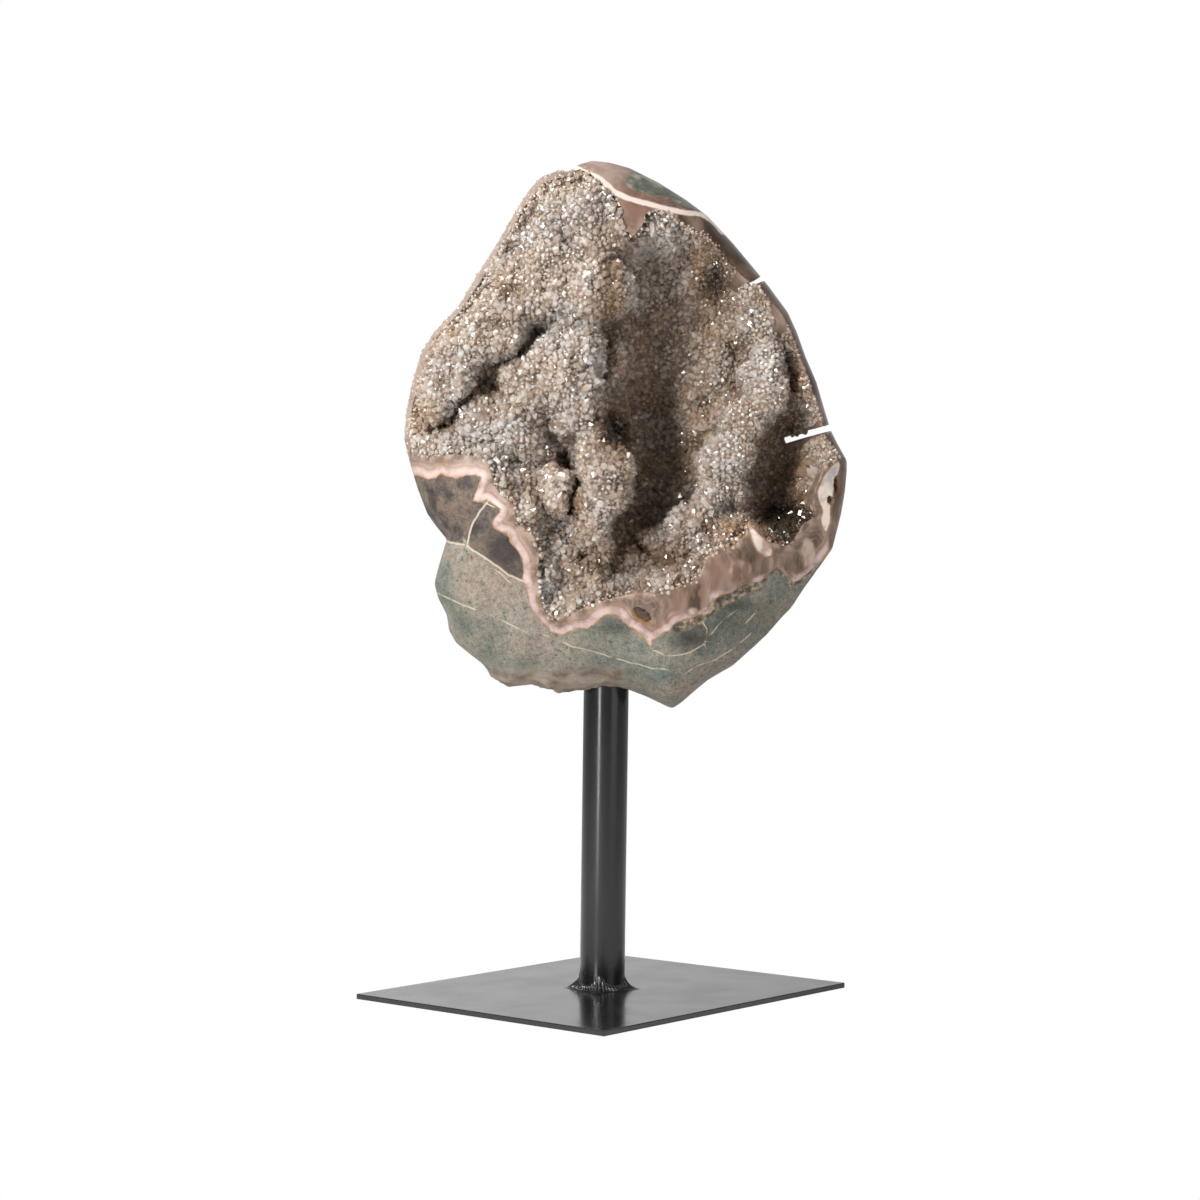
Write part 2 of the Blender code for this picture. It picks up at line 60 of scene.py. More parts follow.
# The stone's plane figures, (x, z) in mm, traced from the front
centre = np.array([20.0, 334.0])
silhouette = [
    (-7, 468), (3, 467), (14, 464), (30, 456), (46, 446), (58, 437), (72, 422), (82, 410), (92, 398),
    (103, 383), (108, 372), (113, 358), (119, 344), (124, 327), (127, 317), (131, 309), (136, 300),
    (136, 294), (135, 283), (133, 271), (128, 251), (119, 238), (104, 217), (91, 202), (72, 185),
    (58, 177), (44, 165), (38, 161), (23, 168), (13, 172), (0, 174), (-12, 172), (-25, 170), (-40, 175),
    (-54, 174), (-63, 179), (-68, 186), (-83, 198), (-87, 205), (-88, 213), (-93, 223), (-95, 231),
    (-93, 240), (-88, 256), (-94, 263), (-99, 270), (-104, 283), (-109, 299), (-112, 312), (-111, 326),
    (-108, 342), (-103, 359), (-96, 371), (-82, 386), (-71, 404), (-58, 425), (-47, 444), (-41, 453),
    (-35, 459), (-27, 462), (-20, 462), (-14, 466),
]
crystalEdge = [
    (-14, 462), (-7, 458), (1, 449), (9, 441), (12, 425), (16, 421), (21, 427), (23, 435), (33, 437),
    (46, 428), (58, 423), (68, 411), (77, 402), (87, 395), (101, 379), (106, 368), (111, 354), (121, 325),
    (124, 314), (131, 301), (128, 298), (121, 294), (116, 283), (115, 276), (117, 268), (110, 264),
    (106, 257), (101, 252), (90, 254), (84, 260), (79, 266), (77, 258), (71, 252), (62, 250), (56, 246),
    (53, 238), (50, 233), (42, 230), (30, 226), (18, 226), (4, 223), (-6, 220), (-13, 217), (-19, 213),
    (-26, 210), (-32, 215), (-35, 227), (-36, 238), (-35, 248), (-38, 257), (-46, 263), (-50, 275),
    (-55, 279), (-60, 285), (-61, 292), (-64, 299), (-71, 301), (-83, 302), (-95, 301), (-106, 304),
    (-108, 319), (-106, 332), (-102, 346), (-98, 358), (-94, 367), (-80, 382), (-68, 400), (-56, 421),
    (-45, 439), (-39, 448), (-33, 454), (-26, 456), (-19, 458),
]
agateEdge = [
    (-118, 306), (-112.7, 292.1), (-104.3, 291.6), (-100.5, 290.1), (-97.8, 288.8), (-92.7, 289.5),
    (-89.9, 291.6),
    (-86.1, 289.8), (-81.4, 289), (-75.8, 290.3), (-70.9, 290.5), (-67.4, 289.2), (-67.6, 287.5),
    (-68.8, 284.8),
    (-70.1, 281.2), (-71.8, 276.4), (-69.1, 275.6), (-64.2, 276.7), (-60.6, 274.5), (-56.3, 271.1),
    (-56.9, 269.6),
    (-59.6, 267), (-61.3, 263.6), (-59.3, 260.6), (-55.7, 259), (-53.3, 258.6), (-51.5, 255.8),
    (-51.1, 252.8),
    (-48.5, 250.4), (-46.1, 246.8), (-44.4, 243.2), (-43.7, 238.4), (-44.3, 233.6), (-42.5, 228.8),
    (-41, 222.8),
    (-40.3, 218), (-37.7, 215), (-32.9, 209), (-28.7, 204.7), (-25.1, 203.3), (-22.1, 202.9), (-19.4, 204.7),
    (-13.8, 206.5), (-9.2, 206.5), (-5.2, 208.8), (-2.9, 211.1), (-0.1, 213.4), (3.4, 214.5), (5.7, 214.2),
    (8, 213.4),
    (10.3, 210.5), (13.7, 207.6), (17.1, 205.9), (20, 203.6), (22.3, 201.3), (23.8, 198.4), (25.2, 195.5),
    (26.3, 200.4),
    (28, 200.7), (32, 204.2), (35.5, 205.3), (38.4, 207.3), (40.1, 209.3), (43.5, 210.5), (49.3, 212.2),
    (55, 215.1),
    (58.5, 216.8), (60.7, 222), (63.6, 224.8), (66.6, 225.4), (70.1, 224.8), (73.1, 227.1), (74.2, 229.4),
    (78.3, 230.9),
    (81.4, 230.6), (83.8, 229.5), (86.7, 231.8), (90.3, 236.2), (94.8, 240.1), (98.5, 240.9), (99.3, 238.5),
    (100.1, 236.3), (103.7, 234.7), (105, 230.8), (107.8, 232.5), (112.5, 235.3), (118.2, 239.7),
    (123.3, 246.5),
    (132.3, 257.8), (150, 300), (150, 400), (60, 480), (-40, 480), (-130, 400),
]
topPatch = [
    (11.4, 453.6), (13.4, 456.5), (15.5, 458.7), (19.7, 464), (27, 466), (40, 462), (58, 446), (57, 439),
    (48.2, 439.6),
    (42.1, 441.1), (35.4, 446.1), (31.4, 445.9), (26, 445.9), (19.4, 447.8), (13.4, 449.7), (11.1, 451.4),
]

stoneShape = dict(
    meridians=660, frontRings=58, backRings=56, edgeHeight=8.0, frontHeight=46.0, backDepth=68.0,
    blunt=3, bluntBelow=7, bluntAngle=265, backPower=2.4,
    rimWidth=2.8, flankStart=(33, 180), flankDirection=(0.85, -0.53), flankSlope=0.75,
    backFacets=((50, 52, 0.55), (165, 48, 0.6), (285, 58, 0.5)),
)
hollowShape = dict(
    rimDrop=1.0, rimHeightDrop=1.5, rimPoints=48, wall=12.0, blend=7.0, pitSpan=45.0, lobeDrop=0.9,
    softness=14.0, smoothing=3.0,
    # The ground under the lobes: (x, z, height towards the viewer)
    ground=(
        (-25, 441, 21), (-47, 411, 21), (-7, 416, 22), (-19, 388, 24), (-58, 377, 22), (-86, 355, 20),
        (-69, 333, 18), (-24, 338, 26), (-47, 316, 24), (-86, 314, 20), (-8, 322, 20), (-8, 289, 16),
        (-30, 275, 14), (-30, 252, 20), (-22, 227, 25), (-42, 289, 21), (-8, 372, 18), (14, 392, -4),
        (10, 364, -10), (13, 324, -14), (18, 290, -18), (10, 256, -4), (18, 436, 18), (29, 419, 2),
        (48, 419, 4), (65, 408, 8), (26, 393, -14), (49, 392, -10), (71, 391, 2), (26, 360, -24),
        (49, 359, -18), (71, 358, -7), (27, 337, -32), (26, 320, -38), (49, 319, -22), (66, 318, -6),
        (26, 297, -40), (29, 280, -34), (49, 279, -14), (32, 250, -10), (20, 233, 10), (48, 244, 10),
        (88, 369, 0), (79, 335, 0), (71, 306, 0), (61, 278, 3), (48, 253, 8), (105, 358, -5),
        (103, 324, -12), (98, 296, -18), (107, 274, -24), (120, 290, -8), (117, 324, -5), (88, 276, -8),
        (73, 253, 16), (53, 233, 20), (14, 222, 22),
    ),
    # Lobes: both ends of the crest, radius at each end, height of the crown at each end, fullness
    lobes=(
        ((-7, 443), (-4, 392), 15, 17, 30, 36, 2.6),
        ((-22, 429), (-27, 393), 20, 22, 29, 34, 2.6),
        ((-44, 409), (-49, 387), 20, 20, 28, 31, 2.6),
        ((-11, 387), (-14, 375), 13, 11, 34, 30, 2.4),
        ((-35, 384), (-57, 370), 14, 18, 33, 35, 2.4),
        ((-55, 373), (-78, 351), 20, 20, 36, 34, 2.4),
        ((-82, 357), (-91, 332), 17, 13, 33, 28, 2.4),
        ((-93, 332), (-100, 322), 11, 8, 28, 22, 2.4),
        ((-18, 359), (-24, 347), 17, 22, 35, 40, 2.4),
        ((-23, 340), (-16, 325), 20, 15, 41, 38, 2.4),
        ((-41, 334), (-46, 318), 20, 16, 38, 35, 2.4),
        ((-57, 324), (-77, 313), 15, 12, 34, 30, 2.4),
        ((-77, 311), (-95, 305), 9, 7, 29, 24, 2.4),
        ((-42, 307), (-38, 304), 9, 8, 34, 30, 2.4),
        ((-3, 310), (1, 296), 9, 12, 32, 38, 2.4),
        ((1, 294), (0, 279), 13, 13, 38, 36, 2.4),
        ((-3, 274), (-7, 263), 11, 10, 33, 28, 2.4),
        ((-28, 285), (-28, 281), 9.5, 9.5, 36, 36, 2.4),
        ((-43, 288), (-36, 269), 9, 9, 27, 25, 2.4),
        ((-31, 258), (-25, 237), 12, 13, 27, 31, 2.4),
        ((-18, 266), (-13, 252), 9, 9, 25, 24, 2.4),
        ((-6, 252), (-3, 239), 11, 10, 22, 22, 2.4),
        ((-16, 230), (-2, 227), 10, 9, 30, 27, 2.4),
        ((-1, 357), (0, 353), 7.5, 7.5, 12, 12, 2.4),
        ((11, 244), (20, 236), 11, 10, 12, 14, 2.4),
        ((31, 243), (48, 251), 14, 13, 10, 14, 2.0),
        ((48, 253), (57, 265), 13, 15, 14, 17, 2.0),
        ((59, 271), (65, 284), 14, 13, 17, 14, 2.0),
        ((71, 298), (70, 303), 13, 13, 18, 17, 2.2),
        ((75, 311), (79, 323), 10, 10, 12, 12, 2.0),
        ((83, 325), (86, 334), 11, 10, 13, 12, 2.0),
        ((90, 356), (91, 344), 12, 12.5, 17, 17, 2.2),
        ((86, 380), (92, 367), 9, 10, 9, 12, 2.0),
    ),
    # The crevice: ends, half width, depth at each end
    crevice=(
        ((-27, 378), (-37, 370), 6, 3, 7), ((-37, 370), (-48, 360), 7, 8, 10),
        ((-48, 360), (-65, 345), 6.5, 9, 9), ((-65, 345), (-78, 332), 6, 9, 10),
        ((-78, 332), (-95, 318), 5.5, 9, 5),
    ),
    pits=(((-26, 299), (-25, 299), 8, 2), ((-15, 275), (-15, 278), 4, 12), ((103, 320), (102, 278), 16, -16)),
)
angleGrid = np.linspace(0, math.tau, 2881)[:-1]


def reachTable(outline):
    # Distance from the centre to a star-shaped outline, for every angle of the grid
    corners = np.array(outline, float) - centre
    ends = np.roll(corners, -1, axis=0)
    dx, dz = np.cos(angleGrid)[:, None], np.sin(angleGrid)[:, None]
    sideA = dx * corners[:, 1] - dz * corners[:, 0]
    sideB = dx * ends[:, 1] - dz * ends[:, 0]
    hit = sideA * sideB <= 0
    share = np.where(hit, sideA / np.where(sideA == sideB, 1, sideA - sideB), 0)
    x = corners[:, 0] + share * (ends[:, 0] - corners[:, 0])
    z = corners[:, 1] + share * (ends[:, 1] - corners[:, 1])
    return np.where(hit, x * dx + z * dz, 0).max(axis=1)


def smoothTable(table, width):
    kernel = np.hanning(width + 2)[1:-1]
    padded = np.concatenate([table[-width:], table, table[:width]])
    return np.convolve(padded, kernel / kernel.sum(), "same")[width:-width]


outerReach = smoothTable(reachTable(silhouette), 9)
crystalReach = np.minimum(smoothTable(reachTable(crystalEdge), 5), outerReach - stoneShape["rimWidth"])


def reachAt(table, angle):
    return np.interp(angle % math.tau, angleGrid, table, period=math.tau)


def polar(x, z):
    return np.arctan2(z - centre[1], x - centre[0]), np.hypot(x - centre[0], z - centre[1])


def domeHeight(x, z):
    s = stoneShape
    angle, distance = polar(x, z)
    share = np.minimum(1, distance / reachAt(outerReach, angle))
    below = np.maximum(0, np.cos(angle - math.radians(s["bluntAngle"])))
    bluntness = s["blunt"] + s["bluntBelow"] * below ** 2
    dome = s["edgeHeight"] + (s["frontHeight"] - s["edgeHeight"]) * np.sqrt(1 - share ** bluntness)
    (startX, startZ), (runX, runZ) = s["flankStart"], s["flankDirection"]
    along = (x - startX) * runX + (z - startZ) * runZ
    flank = np.maximum(s["edgeHeight"], s["frontHeight"] - s["flankSlope"] * np.maximum(0, along))
    return np.minimum(dome, flank)


def backHeight(x, z):
    s = stoneShape
    angle, distance = polar(x, z)
    share = np.minimum(1, distance / reachAt(outerReach, angle))
    height = s["edgeHeight"] - (s["edgeHeight"] + s["backDepth"]) * np.sqrt(1 - share ** s["backPower"])
    for facetAngle, start, slope in s["backFacets"]:
        along = distance * np.cos(angle - math.radians(facetAngle))
        height = np.maximum(height, np.minimum(s["edgeHeight"], -s["backDepth"] + slope * (along - start)))
    return height


def alongSegment(x, z, start, end):
    # Distance to a segment, and how far along it the nearest point lies
    run = np.array(end, float) - np.array(start, float)
    share = np.clip(((x - start[0]) * run[0] + (z - start[1]) * run[1]) / max(1e-9, run @ run), 0, 1)
    return np.hypot(x - start[0] - share * run[0], z - start[1] - share * run[1]), share


def lineDistance(x, z, points):
    return np.min([alongSegment(x, z, a, b)[0] for a, b in zip(points[:-1], points[1:])], axis=0)


def lineSide(x, z, lines):
    # Distance to the nearest of some lines, and the same with the sign of the side
    nearest, side = np.full(np.shape(x), 1e6), np.zeros(np.shape(x))
    for points in lines:
        for a, b in zip(points[:-1], points[1:]):
            away, _ = alongSegment(x, z, a, b)
            turn = np.sign((b[0] - a[0]) * (z - a[1]) - (b[1] - a[1]) * (x - a[0]))
            closer = away < nearest
            nearest, side = np.where(closer, away, nearest), np.where(closer, away * turn, side)
    return nearest, side


def smoothMax(a, b, blend):
    mix = np.maximum(0, blend - np.abs(a - b)) / blend
    return np.maximum(a, b) + mix ** 2 * blend / 4


def groundSheet():
    # A smooth sheet through the ground's points and points of the rim: a sum of soft cones and a plane
    s = hollowShape
    angle = np.arange(s["rimPoints"]) * math.tau / s["rimPoints"]
    edge = reachAt(crystalReach, angle)
    x, z = centre[0] + edge * np.cos(angle), centre[1] + edge * np.sin(angle)
    rim = np.stack([x, z, domeHeight(x, z) - s["rimHeightDrop"]], axis=1)
    places = np.concatenate([np.array(s["ground"], float), rim])
    count = len(places)
    apart = np.hypot(places[:, None, 0] - places[:, 0], places[:, None, 1] - places[:, 1])
    system = np.zeros((count + 3, count + 3))
    system[:count, :count] = s["smoothing"] * np.eye(count) - np.hypot(apart, s["softness"])
    system[:count, count] = system[count, :count] = 1
    system[:count, count + 1:] = places[:, :2]
    system[count + 1:, :count] = places[:, :2].T
    return places, np.linalg.solve(system, np.append(places[:, 2], [0, 0, 0]))


groundPlaces, groundWeights = groundSheet()


def groundHeight(x, z):
    height = groundWeights[-3] + x * groundWeights[-2] + z * groundWeights[-1]
    for (px, pz, _), weight in zip(groundPlaces, groundWeights):
        height = height - weight * np.hypot(np.hypot(x - px, z - pz), hollowShape["softness"])
    return height


def hollowHeight(x, z):
    s = hollowShape
    height = groundHeight(x, z)
    for start, end, firstRadius, lastRadius, firstTop, lastTop, fullness in s["lobes"]:
        away, along = alongSegment(x, z, start, end)
        radius = firstRadius + (lastRadius - firstRadius) * along
        share = np.minimum(1, away / radius)
        drop = s["lobeDrop"] * radius * (1 - np.sqrt(1 - share ** fullness))
        lobe = firstTop + (lastTop - firstTop) * along - drop
        height = np.where(share < 1, smoothMax(height, lobe, s["blend"]), height)
    for start, end, half, firstDepth, lastDepth in s["crevice"]:
        away, along = alongSegment(x, z, start, end)
        depth = firstDepth + (lastDepth - firstDepth) * along
        height = height - depth * np.maximum(0, 1 - (away / half) ** 2) ** 1.5
    for start, end, radius, floor in s["pits"]:
        away, _ = alongSegment(x, z, start, end)
        share = np.minimum(1, away / radius)
        pit = floor + s["pitSpan"] * (1 - np.sqrt(1 - share ** 2))
        height = np.where(share < 1, -smoothMax(-height, -pit, s["blend"]), height)
    height = np.minimum(height, domeHeight(x, z) - s["rimDrop"])
    return np.maximum(height, backHeight(x, z) + s["wall"])


noiseShift = (7.31, 3.7, 1.9)


def roughness3d(points, size, seed, height=1):
    # Smooth noise up to this height at each point; all lengths in mm
    shift = Vector([seed * step for step in noiseShift])
    return np.array([noise.noise(Vector(p) / size + shift) for p in points]) * height


def between(value, start, end):
    # 0 at the start and 1 at the end, straight in between
    return np.clip((value - start) / (end - start), 0, 1)


# Sharper relief than the solid's: how much ridges and valleys are deepened, and the clusters of crystals
crisp = dict(
    x=(-126, 146), z=(196, 476), blur=15, gain=1.2, wideGain=0.6, lower=-8.0, upper=8.5, fade=9.0, wall=9,
    sway=8.5, swaySize=17.0, swaySeeds=(21, 22),
    clusterStep=12.0, clusterHeight=12.0, clusterSeed=6, clusterJitter=0.42, clusterLevel=0.7,
)
def blurred(field, reach):
    kernel = np.hanning(4 * reach + 1)
    kernel /= kernel.sum()
    field = np.pad(field, 2 * reach, mode="edge")
    field = np.apply_along_axis(lambda row: np.convolve(row, kernel, "valid"), 1, field)
    return np.apply_along_axis(lambda row: np.convolve(row, kernel, "valid"), 0, field)


def crispTable():
    # The hollow's heights on a 1 mm grid, its ridges a little higher and its valleys deeper than the smooth
    # ones
    s = crisp
    gridX, gridZ = np.meshgrid(np.arange(*s["x"], 1.0), np.arange(*s["z"], 1.0))
    angle, distance = polar(gridX, gridZ)
    fade = np.clip((reachAt(crystalReach, angle) - distance) / s["fade"], 0, 1)
    flat = np.stack([gridX.ravel(), np.zeros(gridX.size), gridZ.ravel()], axis=1)
    sway = [roughness3d(flat, s["swaySize"], seed).reshape(gridX.shape) * s["sway"] * fade
            for seed in s["swaySeeds"]]
    height = hollowHeight(gridX + sway[0], gridZ + sway[1])
    smooth, wide = blurred(height, s["blur"]), blurred(height, 2 * s["blur"])
    extra = (height - smooth) * s["gain"] + (smooth - wide) * s["wideGain"]
    extra = np.clip(extra, s["lower"], s["upper"])
    # Rounded clusters of crystals with creases between them
    rng = np.random.default_rng(s["clusterSeed"])
    step, jitter = s["clusterStep"], s["clusterJitter"]
    seedX, seedZ = np.meshgrid(np.arange(*s["x"], step), np.arange(*s["z"], step))
    seedX, seedZ = ((seeds + rng.uniform(-jitter, jitter, seeds.shape) * step).ravel()
                    for seeds in (seedX, seedZ))
    away = np.full(gridX.shape, 1e6)
    for px, pz in zip(seedX, seedZ):
        away = np.minimum(away, np.hypot(gridX - px, gridZ - pz))
    domes = np.sqrt(np.clip(1 - (away / step) ** 2, 0, 1))
    clusters = (domes - s["clusterLevel"]) * s["clusterHeight"]
    return np.maximum(height + (extra + clusters) * fade, backHeight(gridX, gridZ) + s["wall"])


def crispHeight(x, z):
    s = crisp
    column = np.clip(np.asarray(x) - s["x"][0], 0, crispHeights.shape[1] - 1.001)
    row = np.clip(np.asarray(z) - s["z"][0], 0, crispHeights.shape[0] - 1.001)
    i, j = row.astype(int), column.astype(int)
    u, v = row - i, column - j
    top = crispHeights[i, j] * (1 - v) + crispHeights[i, j + 1] * v
    return top * (1 - u) + (crispHeights[i + 1, j] * (1 - v) + crispHeights[i + 1, j + 1] * v) * u


crispHeights = crispTable()


def insideOutline(x, z, outline):
    inside = np.zeros(np.shape(x), bool)
    for (ax, az), (bx, bz) in zip(outline, outline[1:] + outline[:1]):
        if az == bz:
            continue
        crosses = ((az > z) != (bz > z)) & (x < ax + (z - az) * (bx - ax) / (bz - az))
        inside ^= crosses
    return inside


def outlineDistance(x, z, outline):
    # Signed distance in mm, positive outside
    away = lineDistance(x, z, list(outline) + [outline[0]])
    return np.where(insideOutline(x, z, outline), -away, away)


def makeMesh(name, vertices, faces):
    mesh = bpy.data.meshes.new(name)
    mesh.from_pydata([tuple(v) for v in vertices], [], faces)
    mesh.validate()
    piece = bpy.data.objects.new(name, mesh)
    bpy.context.scene.collection.objects.link(piece)
    return piece


def pieceFrom(bm, name):
    mesh = bpy.data.meshes.new(name)
    bm.to_mesh(mesh)
    bm.free()
    piece = bpy.data.objects.new(name, mesh)
    bpy.context.scene.collection.objects.link(piece)
    return piece


def addAttribute(piece, name, values):
    layer = piece.data.attributes.new(name, "FLOAT", "POINT")
    layer.data.foreach_set("value", np.asarray(values, np.float32))


def finishPiece(piece, slot, *nodes):
    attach(piece, "root")
    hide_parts(*nodes)


def baked(piece):
    # The evaluated mesh becomes the piece's own, and its modifiers go
    depsgraph = bpy.context.evaluated_depsgraph_get()
    mesh = bpy.data.meshes.new_from_object(piece.evaluated_get(depsgraph))
    piece.modifiers.clear()
    piece.data = mesh
    return piece


# Camera and studio
view = dict(place=(-0.0023, -1.404, 0.2219), focal=74.67, sensor=36.0, farthest=50)


def makeCamera():
    data = bpy.data.cameras.new("camera")
    data.lens = view["focal"]
    data.sensor_width = view["sensor"]
    data.clip_end = view["farthest"]
    camera = bpy.data.objects.new("camera", data)
    camera.location = view["place"]
    camera.rotation_euler = (math.radians(90), 0, 0)
    bpy.context.scene.collection.objects.link(camera)
    bpy.context.scene.camera = camera
    bpy.context.scene.view_settings.view_transform = "Standard"


# Name: place, target, width and height, watts
softboxes = dict(
    key=((-0.92, -1.32, 1.05), (0.0, 0.0, 0.32), (0.4, 1.3), 29),
    overhead=((-0.6, -0.3, 1.7), (0.0, 0.0, 0.35), (0.7, 0.7), 17),
    strip=((-0.84, -1.3, 0.55), (0.0, 0.0, 0.55), (0.2, 1.1), 12),
    fill=((1.5, -1.5, 0.7), (0.0, 0.0, 0.3), (1.2, 1.4), 7.0),
)
# The room's light in front and behind, and its shares at the left and the right
backdrop = dict(front=0.21, back=0.97, backFrom=0.7, leftShare=1.12, rightShare=0.74, sideFrom=0.14)
floorLook = dict(radius=12, corners=64, white=0.9, roughness=0.9)


def makeSoftbox(name, place, target, size, power):
    data = bpy.data.lights.new(name, "AREA")
    data.shape = "RECTANGLE"
    data.size, data.size_y = size
    data.energy = power
    light = bpy.data.objects.new(name, data)
    light.location = place
    light.rotation_euler = (Vector(target) - Vector(place)).to_track_quat("-Z", "Y").to_euler()
    bpy.context.scene.collection.objects.link(light)


def makeWorld():
    # White where the camera looks, and a softer white room for the light, brighter behind the object
    s = backdrop
    world = bpy.data.worlds.new("studio")
    bpy.context.scene.world = world
    world.use_nodes = True
    background = world.node_tree.nodes["Background"]
    background.inputs["Color"].default_value = (1, 1, 1, 1)
    bench = nodeBench(world.node_tree, None)
    split = bench.add("ShaderNodeSeparateXYZ")
    bench.put(split.inputs[0], bench.add("ShaderNodeTexCoord").outputs["Generated"])
    depth = bench.add("ShaderNodeMapRange", Value=split.outputs["Y"], From_Min=0.0, From_Max=s["backFrom"],
                      To_Min=s["front"], To_Max=s["back"])
    sides = bench.add("ShaderNodeMapRange", Value=split.outputs["X"], From_Min=-s["sideFrom"],
                      From_Max=s["sideFrom"], To_Min=s["leftShare"], To_Max=s["rightShare"])
    room = bench.times(depth.outputs["Result"], sides.outputs["Result"])
    seen = bench.add("ShaderNodeLightPath").outputs["Is Camera Ray"]
    strength = bench.add("ShaderNodeMix")
    for place, value in ((0, seen), (2, room), (3, 1.0)):
        bench.put(strength.inputs[place], value)
    bench.put(background.inputs["Strength"], strength.outputs[0])


def makeFloor():
    # The camera sees it plain white, as the backdrop; every other ray meets a matt white floor
    s = floorLook
    bm = bmesh.new()
    bmesh.ops.create_circle(bm, cap_ends=True, segments=s["corners"], radius=s["radius"])
    floor = pieceFrom(bm, "floor")
    paint = bpy.data.materials.new("whiteFloor")
    paint.use_nodes = True
    dress(paint, Base_Color=(s["white"],) * 3, Roughness=s["roughness"])
    nodes, bench = paint.node_tree.nodes, nodeBench(paint.node_tree, None)
    choice = bench.add("ShaderNodeMixShader")
    parts = (bench.add("ShaderNodeLightPath").outputs["Is Camera Ray"], nodes["Principled BSDF"].outputs[0],
             bench.add("ShaderNodeEmission").outputs[0])
    for socket, part in zip(choice.inputs, parts):
        bench.put(socket, part)
    bench.put(nodes["Material Output"].inputs["Surface"], choice.outputs[0])
    floor.data.materials.append(paint)
# Shader tools
class nodeBench:
    # Adds and links the nodes of one tree by short calls
    def __init__(self, tree, coords):
        self.tree, self.coords = tree, coords

    def add(self, kind, settings=None, **inputs):
        node = self.tree.nodes.new(kind)
        for key, value in (settings or {}).items():
            setattr(node, key, value)
        for key, value in inputs.items():
            self.put(node.inputs[key.replace("_", " ")], value)
        return node

    def put(self, socket, value):
        if isinstance(value, bpy.types.NodeSocket):
            self.tree.links.new(value, socket)
        else:
            socket.default_value = value

    def noise(self, scale, detail=4.0, rough=0.55, stretch=None):
        coords = self.coords
        if stretch:
            coords = self.add("ShaderNodeMapping", Vector=coords, Scale=stretch).outputs[0]
        return self.add(
            "ShaderNodeTexNoise", Vector=coords, Scale=scale, Detail=detail, Roughness=rough).outputs["Fac"]

    def cells(self, scale):
        return self.add("ShaderNodeTexVoronoi", Vector=self.coords, Scale=scale).outputs["Distance"]

    def attribute(self, name):
        return self.add("ShaderNodeAttribute", dict(attribute_name=name)).outputs["Fac"]

    def maths(self, operation, a, b=0.0, c=0.0):
        node = self.add("ShaderNodeMath", dict(operation=operation))
        for socket, value in zip(node.inputs, (a, b, c)):
            self.put(socket, value)
        return node.outputs[0]

    def times(self, a, b):
        return self.maths("MULTIPLY", a, b)

    def plus(self, a, b):
        return self.maths("ADD", a, b)

    def span(self, value, low, high, toLow=0.0, toHigh=1.0):
        node = self.add("ShaderNodeMapRange", dict(interpolation_type="SMOOTHSTEP"), Value=value)
        for key, number in (("From Min", low), ("From Max", high), ("To Min", toLow), ("To Max", toHigh)):
            node.inputs[key].default_value = number
        return node.outputs["Result"]

    def mix(self, share, a, b, blend="MIX"):
        node = self.add("ShaderNodeMix", dict(data_type="RGBA", blend_type=blend))
        self.put(node.inputs[0], share)
        for socket, value in ((node.inputs[6], a), (node.inputs[7], b)):
            self.put(socket, value if isinstance(value, bpy.types.NodeSocket) else (*value, 1))
        return node.outputs[2]

    def tint(self, base, mask, strength, colour):
        # A colour laid over the base where the mask is 1, at this strength
        return self.mix(self.times(mask, strength), base, colour)

    def shaded(self, base, shade):
        return self.mix(1.0, base, shade, "MULTIPLY")

    def ramp(self, value, *stops):
        node = self.add("ShaderNodeValToRGB", Fac=value)
        elements = node.color_ramp.elements
        while len(elements) < len(stops):
            elements.new(0.5)
        for element, (place, colour) in zip(elements, stops):
            element.position = place
            element.color = (*colour, 1)
        return node.outputs["Color"]

    def bump(self, height, distance, strength):
        node = self.add("ShaderNodeBump", Height=height, Distance=distance, Strength=strength)
        return node.outputs["Normal"]

    def group(self, tree, **inputs):
        node = self.add("ShaderNodeGroup", dict(node_tree=tree))
        for key, value in inputs.items():
            self.put(node.inputs[key.replace("_", " ")], value)
        return node.outputs


def newMaterial(name):
    made = bpy.data.materials.new(name)
    made.use_nodes = True
    bench = nodeBench(made.node_tree, None)
    bench.coords = bench.add("ShaderNodeTexCoord").outputs["Object"]
    return made, bench


def dress(made, **inputs):
    bench = nodeBench(made.node_tree, None)
    shader = made.node_tree.nodes["Principled BSDF"]
    for key, value in inputs.items():
        bench.put(shader.inputs[key.replace("_", " ")], (*value, 1) if isinstance(value, tuple) else value)
    return made


def newGroup(name, inputs, outputs):
    tree = bpy.data.node_groups.new(name, "ShaderNodeTree")
    for label, kind, value in inputs:
        tree.interface.new_socket(label, in_out="INPUT", socket_type=kind).default_value = value
    for label, kind in outputs:
        tree.interface.new_socket(label, in_out="OUTPUT", socket_type=kind)
    given = tree.nodes.new("NodeGroupInput").outputs
    bench = nodeBench(tree, None)
    bench.coords = bench.add("ShaderNodeTexCoord").outputs["Object"]
    return tree, given, tree.nodes.new("NodeGroupOutput").inputs, bench


def mineralGroup():
    # Mottling and dark specks that basalt, agate and druse share
    tree, given, out, bench = newGroup(
        "mineralMottle",
        (("Patch Scale", "NodeSocketFloat", 30.0), ("Speck Scale", "NodeSocketFloat", 300.0),
         ("Speck Share", "NodeSocketFloat", 0.62)),
        (("Patches", "NodeSocketFloat"), ("Specks", "NodeSocketFloat"), ("Grain", "NodeSocketFloat")))
    bench.put(out["Patches"], bench.noise(given["Patch Scale"], 6, 0.6))
    specks = bench.noise(given["Speck Scale"], 3, 0.65)
    edge = bench.maths("SUBTRACT", specks, given["Speck Share"])
    bench.put(out["Specks"], bench.span(edge, 0.0, 0.05))
    bench.put(out["Grain"], bench.noise(900, 3))
    return tree


